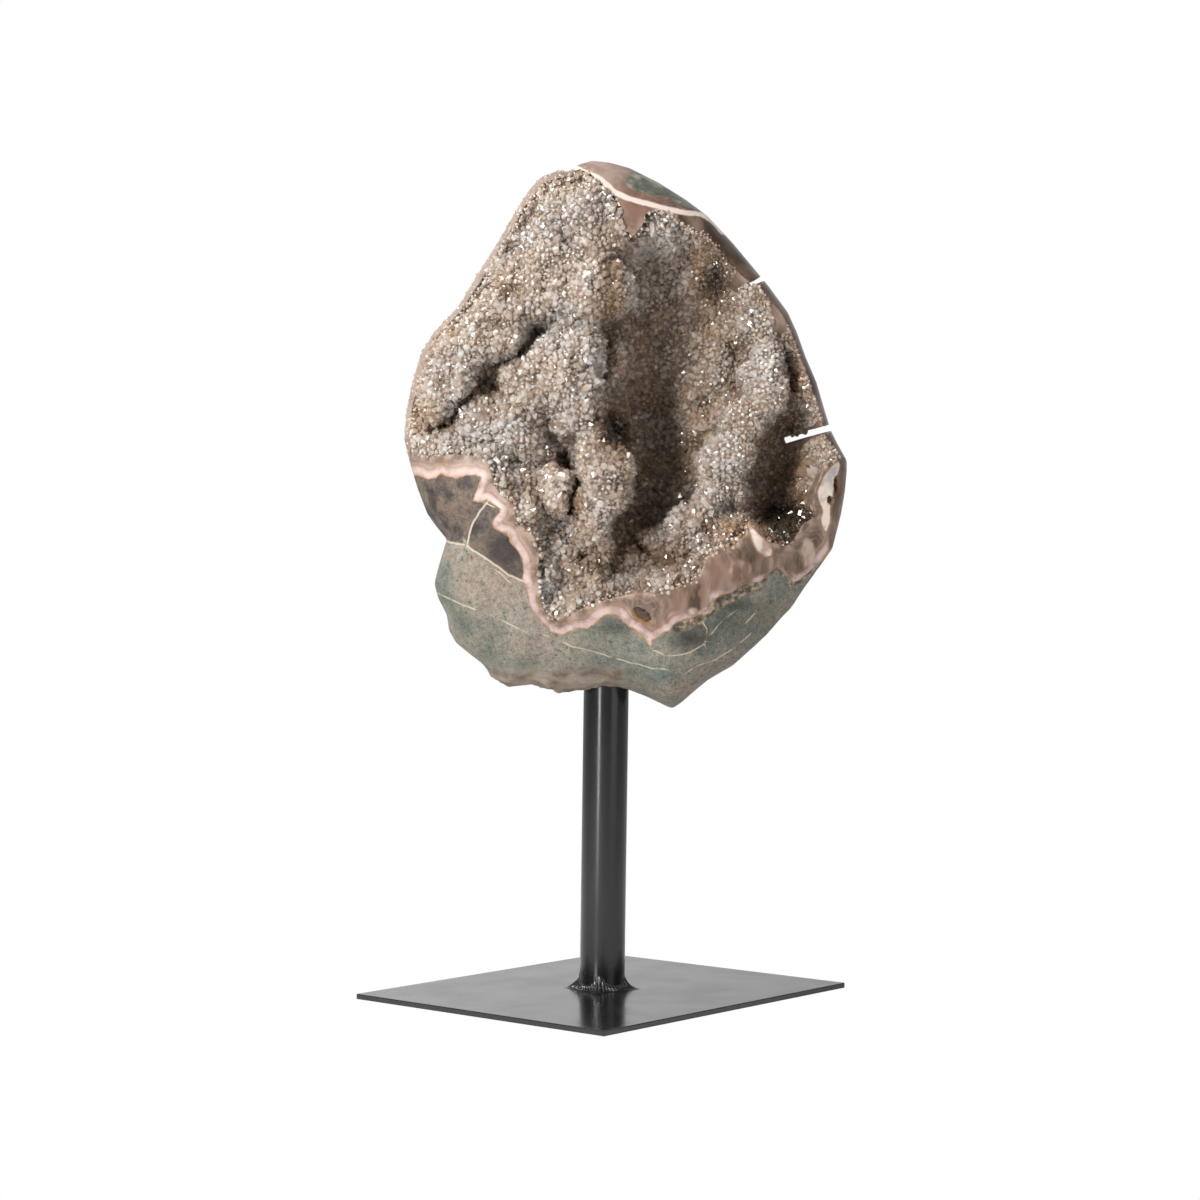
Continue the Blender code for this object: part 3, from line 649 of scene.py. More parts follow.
def paintGroup():
    # Satin black paint on the steel: slow tone changes, dust and a fine grain
    tree, given, out, bench = newGroup(
        "satinPaint",
        (("Dust Scale", "NodeSocketFloat", 900.0), ("Dust Size", "NodeSocketFloat", 0.06)),
        (("Tone", "NodeSocketFloat"), ("Dust", "NodeSocketFloat"), ("Grain", "NodeSocketFloat")))
    bench.put(out["Tone"], bench.noise(26, 4))
    near = bench.maths("SUBTRACT", given["Dust Size"], bench.cells(given["Dust Scale"]))
    dusty = bench.span(bench.noise(45, 3), 0.5, 0.58)
    bench.put(out["Dust"], bench.times(bench.span(near, 0.0, 0.03), dusty))
    bench.put(out["Grain"], bench.noise(1100, 2))
    return tree


# Stone
stoneMarks = dict(
    creamVein=(
        ((-64.2, 275.1), (-67.9, 271), (-71.6, 265), (-73.4, 260.2), (-75.2, 252.3)),
        ((-92, 256), (-85, 253.8), (-77.7, 252.4), (-69, 247.4), (-63, 243.2), (-56.9, 239), (-52.1, 235.4),
         (-44.9, 232.4)),
    ),
    thinVein=(
        ((-57.5, 237.2), (-53.3, 233), (-49.7, 230)),
        ((-93.1, 225.9), (-84.3, 222.2), (-76.6, 218.5), (-69.2, 216.1), (-57, 211.3), (-49.8, 207.7),
         (-42.5, 204.1)),
        ((-32.9, 202.9), (-25.7, 199.9), (-17.3, 196.3), (-11.5, 195.5), (-4.7, 193.2), (2.3, 190.9),
         (9.2, 189.1)),
        ((9.2, 189.1), (13.8, 187.4), (19.5, 186.3), (25.3, 184.2), (33.3, 183.8)),
        ((27.5, 194.4), (33.2, 191.5), (40.2, 191.5), (47.1, 193.2), (54.1, 197.2), (56.3, 201.2),
         (59.8, 204.7),
         (64.5, 210.4), (71.5, 215.6)),
        ((44.9, 181.6), (51.9, 186.2), (61.3, 189), (70.8, 194.1), (81.4, 203.3)),
        ((78.3, 209.2), (83, 214.4)), ((53.9, 209.3), (56.3, 205.9), (55.2, 197.8)),
        ((-64.3, 274.5), (-61.2, 273.3), (-56.9, 270.8)),
    ),
    streak=(
        ((44.6, 224.2), (42.9, 217.4), (40.1, 210.5)), ((54.9, 236.9), (56.1, 226.5), (55, 216.2)),
        ((74.5, 241.5), (80.7, 234.6)), ((68.7, 235.7), (68.9, 226.6)),
        ((31, 221), (31.5, 205.9), (27.5, 199)),
        ((60, 246), (66, 238), (64, 228)), ((84, 240), (88, 250)), ((104, 249), (98, 243)),
    ),
    whiteTop=(((-16.4, 463.6), (-9.8, 458.8), (-3.2, 455.5), (6.1, 446.6), (12.7, 443.4), (19.3, 441.5),
               (32.6, 438.5),
               (44.6, 436.2), (54.3, 436.6), (60.4, 433.2), (66, 427)),),
    darkFacet=[
        (-112, 291.3), (-104.3, 291.4), (-100.5, 289.9), (-97.8, 288.8), (-92.7, 289.5), (-89.9, 291.6),
        (-86.1, 289.8),
        (-81.4, 289), (-75.8, 290.3), (-70.9, 290.5), (-67.4, 289.2), (-68.8, 284.8), (-71.8, 276.4),
        (-69.1, 275.6),
        (-60.6, 274.5), (-56.3, 271.1), (-59.6, 267), (-61.3, 263.6), (-59.3, 260.6), (-51.5, 255.8),
        (-46.1, 246.8),
        (-43.9, 239.6), (-44.9, 233), (-52.1, 235.4), (-59.3, 240.2), (-64.2, 243.8), (-69, 247.4),
        (-76.4, 251.5),
        (-85.7, 253.9), (-95.4, 260), (-106, 274),
    ],
    whiteRim=[
        (117.2, 281.3), (118.8, 284.7), (121.1, 290.3), (125.6, 295.9), (130.1, 299.3), (131.2, 297),
        (128.9, 289.2),
        (126.7, 280.2), (125.6, 272.4), (125.6, 264.5), (123.3, 259.5), (121.1, 262.3), (120, 266.8),
        (121.1, 271.3),
        (118.8, 275.7),
    ],
    lip=[
        (77.6, 265.6), (79.1, 259), (81, 252.5), (83.7, 248.2), (88.9, 244.9), (92.6, 246), (92.9, 251.6),
        (88.6, 254.8),
        (85.1, 258), (81.8, 261.2),
    ],
    ledge=((40, 206), (47, 208), (55, 212), (60.8, 218), (66.6, 221), (72.5, 224), (77.2, 227),
           (84.7, 228.6)),
    fissure=((86, 230), (91, 234.5), (96, 239), (99, 236), (104, 229.5), (110, 232), (118, 239)),
    # Small holes: place, half width, half height, turn in degrees
    vugs=(((21.0, 212.5), 6.4, 3.4, -38), ((129.4, 285.3), 2.1, 5.4, 4), ((125.6, 277.1), 1.9, 2.3, 30),
          ((-73.2, 243.9), 1.5, 1.1, -30), ((-46.5, 262.0), 1.7, 0.8, -25)),
    # Soft spots: (x, z), (half width, half height), strength
    teal=(
        ((5, 206), (13, 6), 0.8), ((32, 180), (9, 4), 1.0), ((77, 223), (13, 9), 0.7),
        ((-89, 232), (5, 14), 0.7),
        ((-52, 186), (34, 9), 0.35), ((12, 188), (30, 6), 0.45), ((100, 225), (12, 16), 0.5),
        ((66, 200), (24, 14), 0.6),
        ((15, 197), (12, 4), 0.8),
    ),
    pink=(((-62, 232), (22, 18), 0.8), ((-30, 215), (16, 12), 0.5), ((-40, 196), (20, 8), 0.5),
          ((104, 217), (14, 16), 0.7),
          ((78, 188), (24, 10), 0.8), ((48, 172), (14, 7), 0.7)),
    # shade: painted shade below the ledge, below the agate's edge and on the dark facet at the left
    shade=(((47, 201), (12, 7), 1.0), ((48, 208), (10, 4), 1.0), ((72, 219), (13, 4), 0.8),
           ((80, 210), (30, 14), 0.4),
           ((6, 207), (12, 5), 0.7), ((-54, 249), (11, 10), 0.9)),
    brownAgate=(((50, 430), (20, 6), 1.1), ((47, 224), (13, 12), 0.9), ((62, 236), (20, 11), 1.0),
                ((84, 243), (16, 9), 0.9), ((30, 224), (6, 5), 0.6), ((104, 242), (14, 8), 0.7),
                ((130, 262), (6, 34), 0.9)),
    pinkFan=(((75, 236), (7, 7), 1.3), ((54, 226), (4, 5), 0.7), ((30, 210), (3, 5), 0.8),
             ((101, 235), (6, 4), 0.7),
             ((113, 248), (5, 9), 1.0), ((48, 216), (4, 3), 0.7)),
    rosy=(((63, 237), (5, 6), 1.1), ((41, 219), (5, 5), 1.0), ((16, 440), (12, 13), 1.2)),
    paleAgate=(((4, 461), (13, 6), 0.8), ((-84, 294), (34, 5), 0.7), ((-46, 266), (12, 30), 0.4),
               ((0, 216), (22, 6), 0.4)),
)
recess = dict(shares=(0.25, 0.5, 0.7, 0.85, 0.93), floor=3.0, lip=9.0, lipTop=2.5, gap=0.1, crowding=1.6)


def softSpots(x, z, spots):
    total = np.zeros(np.shape(x))
    for (sx, sz), (wide, high), strength in spots:
        total = np.maximum(total, strength * np.exp(-((x - sx) / wide) ** 2 - ((z - sz) / high) ** 2))
    return total


farOutside = -9.0


def vugDepth(x, z):
    # 1 in the middle of a small hole, 0 on its edge and below that outside
    depth = np.full(np.shape(x), farOutside)
    for (vx, vz), wide, high, turn in stoneMarks["vugs"]:
        c, n = math.cos(math.radians(turn)), math.sin(math.radians(turn))
        u, v = (x - vx) * c + (z - vz) * n, (z - vz) * c - (x - vx) * n
        depth = np.maximum(depth, 1 - (u / wide) ** 2 - (v / high) ** 2)
    return depth


def stonePoints():
    # Rings of points from the recess behind the crust out over the front, round the edge and over the back
    s = stoneShape
    angle = np.arange(s["meridians"]) * math.tau / s["meridians"]
    inner, outer = reachAt(crystalReach, angle) + recess["gap"], reachAt(outerReach, angle)
    rings = []

    def ring(distance, height):
        x, z = centre[0] + distance * np.cos(angle), centre[1] + distance * np.sin(angle)
        rings.append(np.stack([x, -height(x, z), z], axis=1))

    for share in recess["shares"]:
        ring(share * inner, lambda x, z: backHeight(x, z) + recess["floor"])
    ring(inner, lambda x, z: domeHeight(x, z) - recess["lip"])
    ring(inner, lambda x, z: domeHeight(x, z) - recess["lipTop"])
    for step in range(s["frontRings"]):
        share = 1 - (1 - step / s["frontRings"]) ** recess["crowding"]
        ring(inner + (outer - inner) * share, domeHeight)
    ring(outer, lambda x, z: 0 * x + s["edgeHeight"])
    for step in range(1, s["backRings"]):
        share = math.cos(step / s["backRings"] * math.pi / 2)
        ring(outer * share, backHeight)
    first = np.array([[centre[0], s["backDepth"] - recess["floor"], centre[1]]])
    last = np.array([[centre[0], s["backDepth"], centre[1]]])
    return np.concatenate([first] + rings + [last]), len(rings)


def stoneFaces(ringCount):
    count = stoneShape["meridians"]
    faces = []
    for k in range(count):
        after = (k + 1) % count
        faces.append((0, 1 + k, 1 + after))
        last = 1 + (ringCount - 1) * count
        faces.append((last + after, last + k, 1 + ringCount * count))
        for ring in range(ringCount - 1):
            a, b = 1 + ring * count, 1 + (ring + 1) * count
            faces.append((a + k, b + k, b + after, a + after))
    return faces


# Marks given by an outline: how far they reach round the stone's edge in mm, and if their end there is ragged
edgeMarks = dict(
    fromAgate=(agateEdge, 9, 1), fromFacet=(stoneMarks["darkFacet"], 7, 0), fromPatch=(topPatch, 14, 1),
    fromRim=(stoneMarks["whiteRim"], 2, 0),
)
veinReach = 4
# Areas that rise from 0 to 1 between two limits, in mm: the broken underside, the brown agate of the thin
# wall right of the notch at the top, and the left rim
stoneAreas = dict(
    broken=(("z", 187, 180), ("x", 14, 8), ("x", -72, -62)),
    brownWall=(("x", 44, 58), ("z", 296, 308)),
    leftRim=(("x", 12, 2), ("z", 306, 314), ("z", 462, 456)),
)
# Noise: size, seed, height. The rest are widths and depths in mm, and shares
relief = dict(
    ragged=(24, 5, 5), wide=(16, 1, 0.5), grain=(5, 2, 0.12), chips=((7, 3, 1.5), (2.6, 4, 0.8)),
    basaltRise=6, skinRise=12, skinChips=0.8, ledgeWidth=3.0, ledgeDepth=1.3, ledgeChips=1.1,
    fissureWidth=1.1, fissureDepth=0.9, vugDepth=2.6, vugSlope=2.5, vugRim=0.25, pushFrom=10,
)


def areaShare(x, z, limits):
    share = 1.0
    for axis, start, end in limits:
        share = share * between(x if axis == "x" else z, start, end)
    return share


def makeStone():
    points, ringCount = stonePoints()
    count = stoneShape["meridians"]
    faceStart = 1 + (len(recess["shares"]) + 3) * count
    index = np.arange(len(points))
    front = index < faceStart + stoneShape["frontRings"] * count
    # Marks on the sides and the back are those of the silhouette, and give way to basalt round the edge
    angle, _ = polar(points[:, 0], points[:, 2])
    outer = reachAt(outerReach, angle)
    beyond = np.where(front, 0, points[:, 1] + stoneShape["edgeHeight"])
    x = np.where(front, points[:, 0], centre[0] + outer * np.cos(angle))
    z = np.where(front, points[:, 2], centre[1] + outer * np.sin(angle))
    s, lay = relief, stoneMarks
    ragged, wide, grain = (roughness3d(points, *s[name]) for name in ("ragged", "wide", "grain"))
    chips = sum(roughness3d(points, *layer) for layer in s["chips"])
    ledge = np.exp(-(lineDistance(x, z, lay["ledge"]) / s["ledgeWidth"]) ** 4) * front
    fissure = np.exp(-(lineDistance(x, z, lay["fissure"]) / s["fissureWidth"]) ** 2) * front
    vug = np.where(front, vugDepth(x, z), farOutside)
    skin = np.clip((beyond + ragged) / s["skinRise"] - 0.5, 0, 1)
    fields = dict(fromCrystal=outlineDistance(x, z, crystalEdge), fromLip=outlineDistance(x, z, lay["lip"]),
                  skin=skin, ledge=np.maximum(ledge, fissure), vug=vug)
    for name, (outline, reach, uneven) in edgeMarks.items():
        fields[name] = np.maximum(outlineDistance(x, z, outline), beyond - reach + ragged * uneven)
    for name, limits in stoneAreas.items():
        fields[name] = areaShare(x, z, limits)
    for name in ("creamVein", "thinVein", "streak", "whiteTop"):
        away, fields[name + "Side"] = lineSide(x, z, lay[name])
        fields[name] = np.maximum(away, beyond - veinReach)
    for name in ("teal", "pink", "shade", "pinkFan", "rosy", "brownAgate", "paleAgate"):
        fields[name] = softSpots(x, z, lay[name])
    basalt = between(fields["fromAgate"], 0, s["basaltRise"])
    chipped = np.maximum(fields["broken"], s["skinChips"] * skin)
    push = (wide + grain) * basalt + chips * chipped * (0.5 + 0.5 * basalt)
    push -= ledge * (s["ledgeDepth"] + chips * s["ledgeChips"]) + fissure * s["fissureDepth"]
    push -= s["vugDepth"] * np.clip(vug * s["vugSlope"] + s["vugRim"], 0, 1)
    push[index < faceStart] = 0
    outward = points - np.array([centre[0], s["pushFrom"], centre[1]])
    outward /= np.linalg.norm(outward, axis=1)[:, None]
    stone = makeMesh("geodeStone", (points + outward * push[:, None]) * mm, stoneFaces(ringCount))
    stone.data.shade_smooth()
    for name, values in fields.items():
        addAttribute(stone, name, values)
    return stone


# Mouth and inner end of each saw cut, its width in mm and how many degrees it slopes down to the back
sawCuts = (((88.5, 403.2), (74.6, 396.0), 3.3, 7.2), ((130, 320.2), (104, 311.6), 4.0, 3.7))
cutterSize = dict(overrun=30, depth=0.4)


def sawCutter():
    # Two slabs, one for each saw cut in the thin right wall
    bm = bmesh.new()
    for mouth, inner, width, drop in sawCuts:
        run = Vector((mouth[0] - inner[0], 0, mouth[1] - inner[1]))
        length = run.length + cutterSize["overrun"]
        middle = Vector((inner[0], 0, inner[1])) + run.normalized() * length / 2
        turn = Matrix.Rotation(-math.atan2(run.z, run.x), 4, "Y")
        turn = turn @ Matrix.Rotation(math.radians(drop), 4, "X")
        size = Matrix.Diagonal((length * mm, cutterSize["depth"], width * mm, 1))
        bmesh.ops.create_cube(bm, size=1, matrix=Matrix.Translation(middle * mm) @ turn @ size)
    return pieceFrom(bm, "sawCuts")


def nearSawCut(points, spare):
    # Which points, in mm, lie in a saw cut widened by a margin
    near = np.zeros(len(points), bool)
    for mouth, inner, width, drop in sawCuts:
        run = np.array([mouth[0] - inner[0], mouth[1] - inner[1]], float)
        run /= np.hypot(*run)
        fromInner = points[:, [0, 2]] - np.array(inner, float)
        along = fromInner @ run
        across = fromInner @ np.array([-run[1], run[0]]) + points[:, 1] * math.tan(math.radians(drop))
        near |= (along > -spare) & (np.abs(across) < width / 2 + spare)
    return near


def cutWith(piece, cutter):
    step = piece.modifiers.new("saw cuts", "BOOLEAN")
    step.operation = "DIFFERENCE"
    step.solver = "EXACT"
    step.object = cutter
    return baked(piece)


def lineMask(s, name, wobble, sway, outside, inside):
    # 1 on the lines of this name and 0 beside them; the signed distance keeps thin lines whole
    away = s.maths("ABSOLUTE", s.plus(s.attribute(name + "Side"), s.times(wobble, sway)))
    return s.times(s.span(away, outside, inside), s.span(s.attribute(name), 3.4, 2.2))


# Stops of the stone's colour ramps, and its single colours
stoneRamps = dict(
    layers=((0.0, (0.33, 0.185, 0.13)), (0.1, (0.40, 0.285, 0.24)), (0.24, (0.35, 0.295, 0.29)),
            (0.36, (0.35, 0.225, 0.18)), (0.46, (0.17, 0.108, 0.077)), (0.56, (0.23, 0.155, 0.118)),
            (0.7, (0.125, 0.082, 0.059)), (0.9, (0.10, 0.068, 0.05))),
    cloud=((0.38, (0.70, 0.65, 0.62)), (0.48, (0.98, 0.97, 0.97)), (0.6, (1.2, 1.2, 1.2))),
    smoky=((0.38, (0.05, 0.031, 0.02)), (0.48, (0.125, 0.083, 0.058)), (0.55, (0.16, 0.105, 0.076)),
           (0.64, (0.27, 0.185, 0.145))),
    fan=((0.42, (0.15, 0.088, 0.062)), (0.49, (0.27, 0.175, 0.132)), (0.57, (0.37, 0.285, 0.235))),
    wall=((0.38, (0.038, 0.023, 0.016)), (0.5, (0.085, 0.053, 0.038)), (0.6, (0.14, 0.09, 0.07)),
          (0.7, (0.23, 0.175, 0.155))),
    basalt=((0.34, (0.095, 0.102, 0.082)), (0.45, (0.148, 0.142, 0.115)), (0.54, (0.193, 0.17, 0.138)),
            (0.64, (0.155, 0.15, 0.123))),
    facet=((0.36, (0.034, 0.028, 0.024)), (0.48, (0.085, 0.068, 0.057)), (0.57, (0.135, 0.096, 0.07)),
           (0.66, (0.095, 0.08, 0.066))),
    pepper=((0.14, (0.62, 0.64, 0.62)), (0.25, (1.0, 1.0, 1.0)), (0.38, (1.32, 1.28, 1.22))),
    patch=((0.38, (0.025, 0.035, 0.03)), (0.55, (0.10, 0.105, 0.085)), (0.66, (0.25, 0.215, 0.165))),
    broken=((0.35, (0.12, 0.085, 0.06)), (0.6, (0.29, 0.235, 0.185))),
    skin=((0.36, (0.085, 0.09, 0.076)), (0.46, (0.125, 0.122, 0.10)), (0.54, (0.165, 0.145, 0.116)),
          (0.62, (0.195, 0.158, 0.125)), (0.7, (0.15, 0.135, 0.108))),
    pits=((0.38, (0.6, 0.58, 0.55)), (0.48, (1.0, 1.0, 1.0)), (0.62, (1.2, 1.18, 1.14))),
    crumbs=((0.38, (0.045, 0.035, 0.025)), (0.5, (0.13, 0.10, 0.07)), (0.6, (0.30, 0.24, 0.17))),
)
stoneTints = dict(
    layerLine=(0.52, 0.43, 0.385), pale=(0.44, 0.33, 0.275), innerDark=(0.12, 0.078, 0.054),
    innerPale=(0.31, 0.22, 0.17), rosy=(0.165, 0.095, 0.07), leftDark=(0.18, 0.13, 0.10),
    leftPale=(0.30, 0.225, 0.185), streak=(0.24, 0.165, 0.13), whiteTop=(0.60, 0.50, 0.44),
    rimCream=(0.66, 0.56, 0.48), rimGrey=(0.42, 0.38, 0.37), rust=(0.26, 0.13, 0.06),
    shell=(0.22, 0.105, 0.05),
    lipTan=(0.36, 0.27, 0.21), lipCream=(0.66, 0.57, 0.48), pinkBasalt=(0.235, 0.175, 0.14),
    teal=(0.085, 0.11, 0.10), fineSpeck=(0.07, 0.09, 0.08), coarseSpeck=(0.05, 0.085, 0.078),
    shade=(0.035, 0.032, 0.024), facetSpeck=(0.05, 0.05, 0.045), facetShade=(0.032, 0.024, 0.02),
    agateEdge=(0.30, 0.17, 0.09), creamVein=(0.42, 0.36, 0.285), thinVein=(0.43, 0.37, 0.27),
    skinSpeck=(0.045, 0.07, 0.064), holeEdge=(0.20, 0.105, 0.05), holeDarkShade=(0.016, 0.011, 0.007),
    holePaleShade=(0.075, 0.05, 0.03),
)
stoneGloss = dict(agate=0.36, basalt=0.62, wall=0.2, broken=0.8)


def stoneMaterial(mottle):
    made, s = newMaterial("agateAndBasalt")
    ramps, tints = stoneRamps, stoneTints
    marks = s.group(mottle, Patch_Scale=34.0, Speck_Scale=420.0, Speck_Share=0.59)
    coarse = s.group(mottle, Patch_Scale=90.0, Speck_Scale=210.0, Speck_Share=0.615)
    wobble = s.maths("MULTIPLY_ADD", s.noise(230, 6, 0.62), 2.8, -1.4)
    slow = s.noise(60, 3)

    def swayed(name, amount=1.0):
        return s.plus(s.attribute(name), s.times(wobble, amount))

    # Agate: layers that follow its edge on the basalt
    toAgate = swayed("fromAgate")
    isBasalt = s.span(toAgate, -0.2, 0.2)
    inward = s.times(s.attribute("fromAgate"), -0.1)
    layers = s.plus(inward, s.maths("MULTIPLY_ADD", slow, 0.5, -0.25))
    lines = s.span(s.maths("SINE", s.times(layers, 74.0)), 0.2, 1)
    agate = s.tint(s.ramp(layers, *ramps["layers"]), lines, 0.13, tints["layerLine"])
    agate = s.shaded(agate, s.ramp(s.noise(150, 5, 0.65), *ramps["cloud"]))
    agate = s.tint(agate, s.attribute("paleAgate"), 0.5, tints["pale"])
    inner = s.mix(s.span(s.noise(130, 5, 0.6), 0.38, 0.62), tints["innerDark"], tints["innerPale"])
    agate = s.mix(s.span(swayed("fromCrystal"), 5.5, 1.0), agate, inner)
    smoky = s.ramp(s.noise(95, 5, 0.6, (1.0, 0.5, 0.35)), *ramps["smoky"])
    agate = s.mix(s.span(swayed("brownAgate", 0.12), 0.25, 0.6), agate, smoky)
    agate = s.tint(agate, s.attribute("rosy"), s.span(s.noise(70, 4), 0.3, 0.6, 0.35, 0.95), tints["rosy"])
    fan = s.ramp(s.noise(120, 4, 0.6, (1.0, 0.5, 0.4)), *ramps["fan"])
    agate = s.mix(s.span(swayed("pinkFan", 0.16), 0.3, 0.62), agate, fan)
    agate = s.mix(s.attribute("brownWall"), agate, s.ramp(s.noise(40, 4), *ramps["wall"]))
    agate = s.mix(s.attribute("leftRim"), agate, s.mix(slow, tints["leftDark"], tints["leftPale"]))
    agate = s.tint(agate, lineMask(s, "streak", wobble, 0.4, 3.4, -0.4), 0.4, tints["streak"])
    agate = s.tint(agate, lineMask(s, "whiteTop", wobble, 0.7, 2.1, 1.0), 0.9, tints["whiteTop"])
    fromRim, fromLip = swayed("fromRim", 0.5), swayed("fromLip", 0.4)
    rim = s.mix(s.span(s.noise(140, 3), 0.4, 0.65), tints["rimCream"], tints["rimGrey"])
    agate = s.mix(s.span(fromRim, 0.4, -0.4), agate, rim)
    agate = s.tint(agate, s.span(s.maths("ABSOLUTE", fromRim), 0.7, 0.1), 0.7, tints["rust"])
    agate = s.tint(agate, s.span(s.maths("ABSOLUTE", fromLip), 0.8, 0.15), 0.85, tints["shell"])
    lip = s.mix(s.span(s.noise(110, 4), 0.4, 0.62), tints["lipTan"], tints["lipCream"])
    agate = s.mix(s.span(fromLip, 0.1, -1.6), agate, lip)
    # Basalt: pinkish grey, grey-green and dark teal patches, with specks
    patches = coarse["Patches"]
    basalt = s.ramp(marks["Patches"], *ramps["basalt"])
    basalt = s.tint(basalt, s.attribute("pink"), s.span(patches, 0.3, 0.6, 0.5, 1.0), tints["pinkBasalt"])
    basalt = s.tint(basalt, s.attribute("teal"), s.span(patches, 0.38, 0.55), tints["teal"])
    basalt = s.tint(basalt, marks["Specks"], 0.6, tints["fineSpeck"])
    basalt = s.tint(basalt, coarse["Specks"], 0.75, tints["coarseSpeck"])
    # Painted shade from the shade spots, stronger on the dark facet
    basalt = s.tint(basalt, s.attribute("shade"), s.span(patches, 0.3, 0.5, 0.6, 1.0), tints["shade"])
    facet = s.tint(s.ramp(patches, *ramps["facet"]), marks["Specks"], 0.7, tints["facetSpeck"])
    facet = s.tint(facet, s.attribute("shade"), 1.5, tints["facetShade"])
    basalt = s.mix(s.span(swayed("fromFacet", 0.6), 0.3, -0.3), basalt, facet)
    # Fine crystalline grain of the basalt
    pepper = s.times(s.noise(900, 2, 0.6), s.noise(300, 4, 0.7))
    basalt = s.shaded(basalt, s.ramp(pepper, *ramps["pepper"]))
    # Veins, the patch at the top, the broken underside, the back's skin, the ledge and the small holes
    colour = s.mix(isBasalt, agate, basalt)
    colour = s.tint(colour, s.span(s.maths("ABSOLUTE", toAgate), 0.5, 0.05), 0.7, tints["agateEdge"])
    veinWobble = s.times(wobble, 0.45)
    cream = lineMask(s, "creamVein", veinWobble, 1.0, 0.85, 0.15)
    colour = s.tint(colour, cream, 0.85, tints["creamVein"])
    thin = lineMask(s, "thinVein", veinWobble, 0.9, 0.55, 0.1)
    thin = s.times(thin, s.span(s.noise(110, 3), 0.40, 0.56, 0.15, 1.0))
    colour = s.tint(colour, thin, 0.8, tints["thinVein"])
    colour = s.mix(s.span(swayed("fromPatch"), 0.3, -0.3), colour, s.ramp(patches, *ramps["patch"]))
    broken = s.attribute("broken")
    colour = s.tint(colour, broken, 0.8, s.ramp(patches, *ramps["broken"]))
    skin = s.span(swayed("skin", 0.1), 0.2, 0.7)
    skinColour = s.tint(s.ramp(s.noise(27, 7, 0.68), *ramps["skin"]), coarse["Specks"], 0.7,
                        tints["skinSpeck"])
    skinColour = s.shaded(skinColour, s.ramp(s.noise(230, 6, 0.72), *ramps["pits"]))
    colour = s.mix(skin, colour, skinColour)
    ledge = s.span(swayed("ledge", 0.25), 0.3, 0.75)
    colour = s.tint(colour, ledge, 0.95, s.ramp(s.noise(260, 5, 0.7), *ramps["crumbs"]))
    hole = swayed("vug", 0.12)
    colour = s.mix(s.span(hole, -0.3, 0.05), colour, tints["holeEdge"])
    # Inside the small holes: painted shade, darkest in their middles
    dark = s.mix(s.span(s.noise(300, 3), 0.4, 0.6), tints["holeDarkShade"], tints["holePaleShade"])
    colour = s.mix(s.span(hole, 0.1, 0.35), colour, dark)
    rough = s.maths("MAXIMUM", s.maths("MAXIMUM", broken, ledge),
                    s.maths("MAXIMUM", skin, s.span(hole, 0.0, 0.3)))
    grey = {name: (value,) * 3 for name, value in stoneGloss.items()}
    gloss = s.mix(s.attribute("brownWall"), s.mix(isBasalt, grey["agate"], grey["basalt"]), grey["wall"])
    gloss = s.mix(rough, gloss, grey["broken"])
    height = s.times(marks["Grain"], s.maths("MAXIMUM", isBasalt, 0.12))
    return dress(made, Base_Color=colour, Roughness=gloss, Normal=s.bump(height, 0.0004, 0.3),
                 Specular_IOR_Level=0.22)
# Crust and crystals
crustShape = dict(
    step=1.5, bedStep=7.0, margin=0.5, jitter=0.22, rowShare=0.866, gridReach=160,
    bumps=((17.0, 5, 2.0), (8.0, 6, 1.5), (3.6, 7, 0.7)), fade=5, bed=6.0, wall=4.0,
)


def crystalOutline():
    angle = np.linspace(0, math.tau, 721)[:-1]
    distance = reachAt(crystalReach, angle)
    return [Vector((centre[0] + d * math.cos(a), centre[1] + d * math.sin(a))) for a,
            d in zip(angle, distance)]


def gridInside(step, seed):
    # A jittered grid of points, half a step or more inside the crust's outline
    s, rng = crustShape, np.random.default_rng(seed)
    reach, rise = s["gridReach"], s["rowShare"]
    xs, zs = [], []
    for row in range(int(2 * reach / (step * rise))):
        x = np.arange(centre[0] - reach + 0.5 * (row % 2) * step, centre[0] + reach, step)
        xs.append(x)
        zs.append(np.full(len(x), centre[1] - reach + row * step * rise))
    x, z = (np.concatenate(rows) for rows in (xs, zs))
    x = x + rng.uniform(-1, 1, len(x)) * step * s["jitter"]
    z = z + rng.uniform(-1, 1, len(z)) * step * s["jitter"]
    angle, distance = polar(x, z)
    keep = distance < reachAt(crystalReach, angle) - step * s["margin"]
    return x[keep], z[keep]
def triangulated(outline, x, z):
    # Flat triangles inside the outline; the outline's own points come first
    count = len(outline)
    points = outline + [Vector((a, b)) for a, b in zip(x, z)]
    border = [(i, (i + 1) % count) for i in range(count)]
    flat, _, faces, origins, _, _ = delaunay_2d_cdt(points, border, [], 1, 1e-7)
    order = [origin[0] for origin in origins]
    return np.array([tuple(p) for p in flat]), faces, order


def bedHeight(x, z):
    # The back of the crust, a little under its front
    return np.maximum(crispHeight(x, z) - crustShape["bed"], backHeight(x, z) + crustShape["wall"])


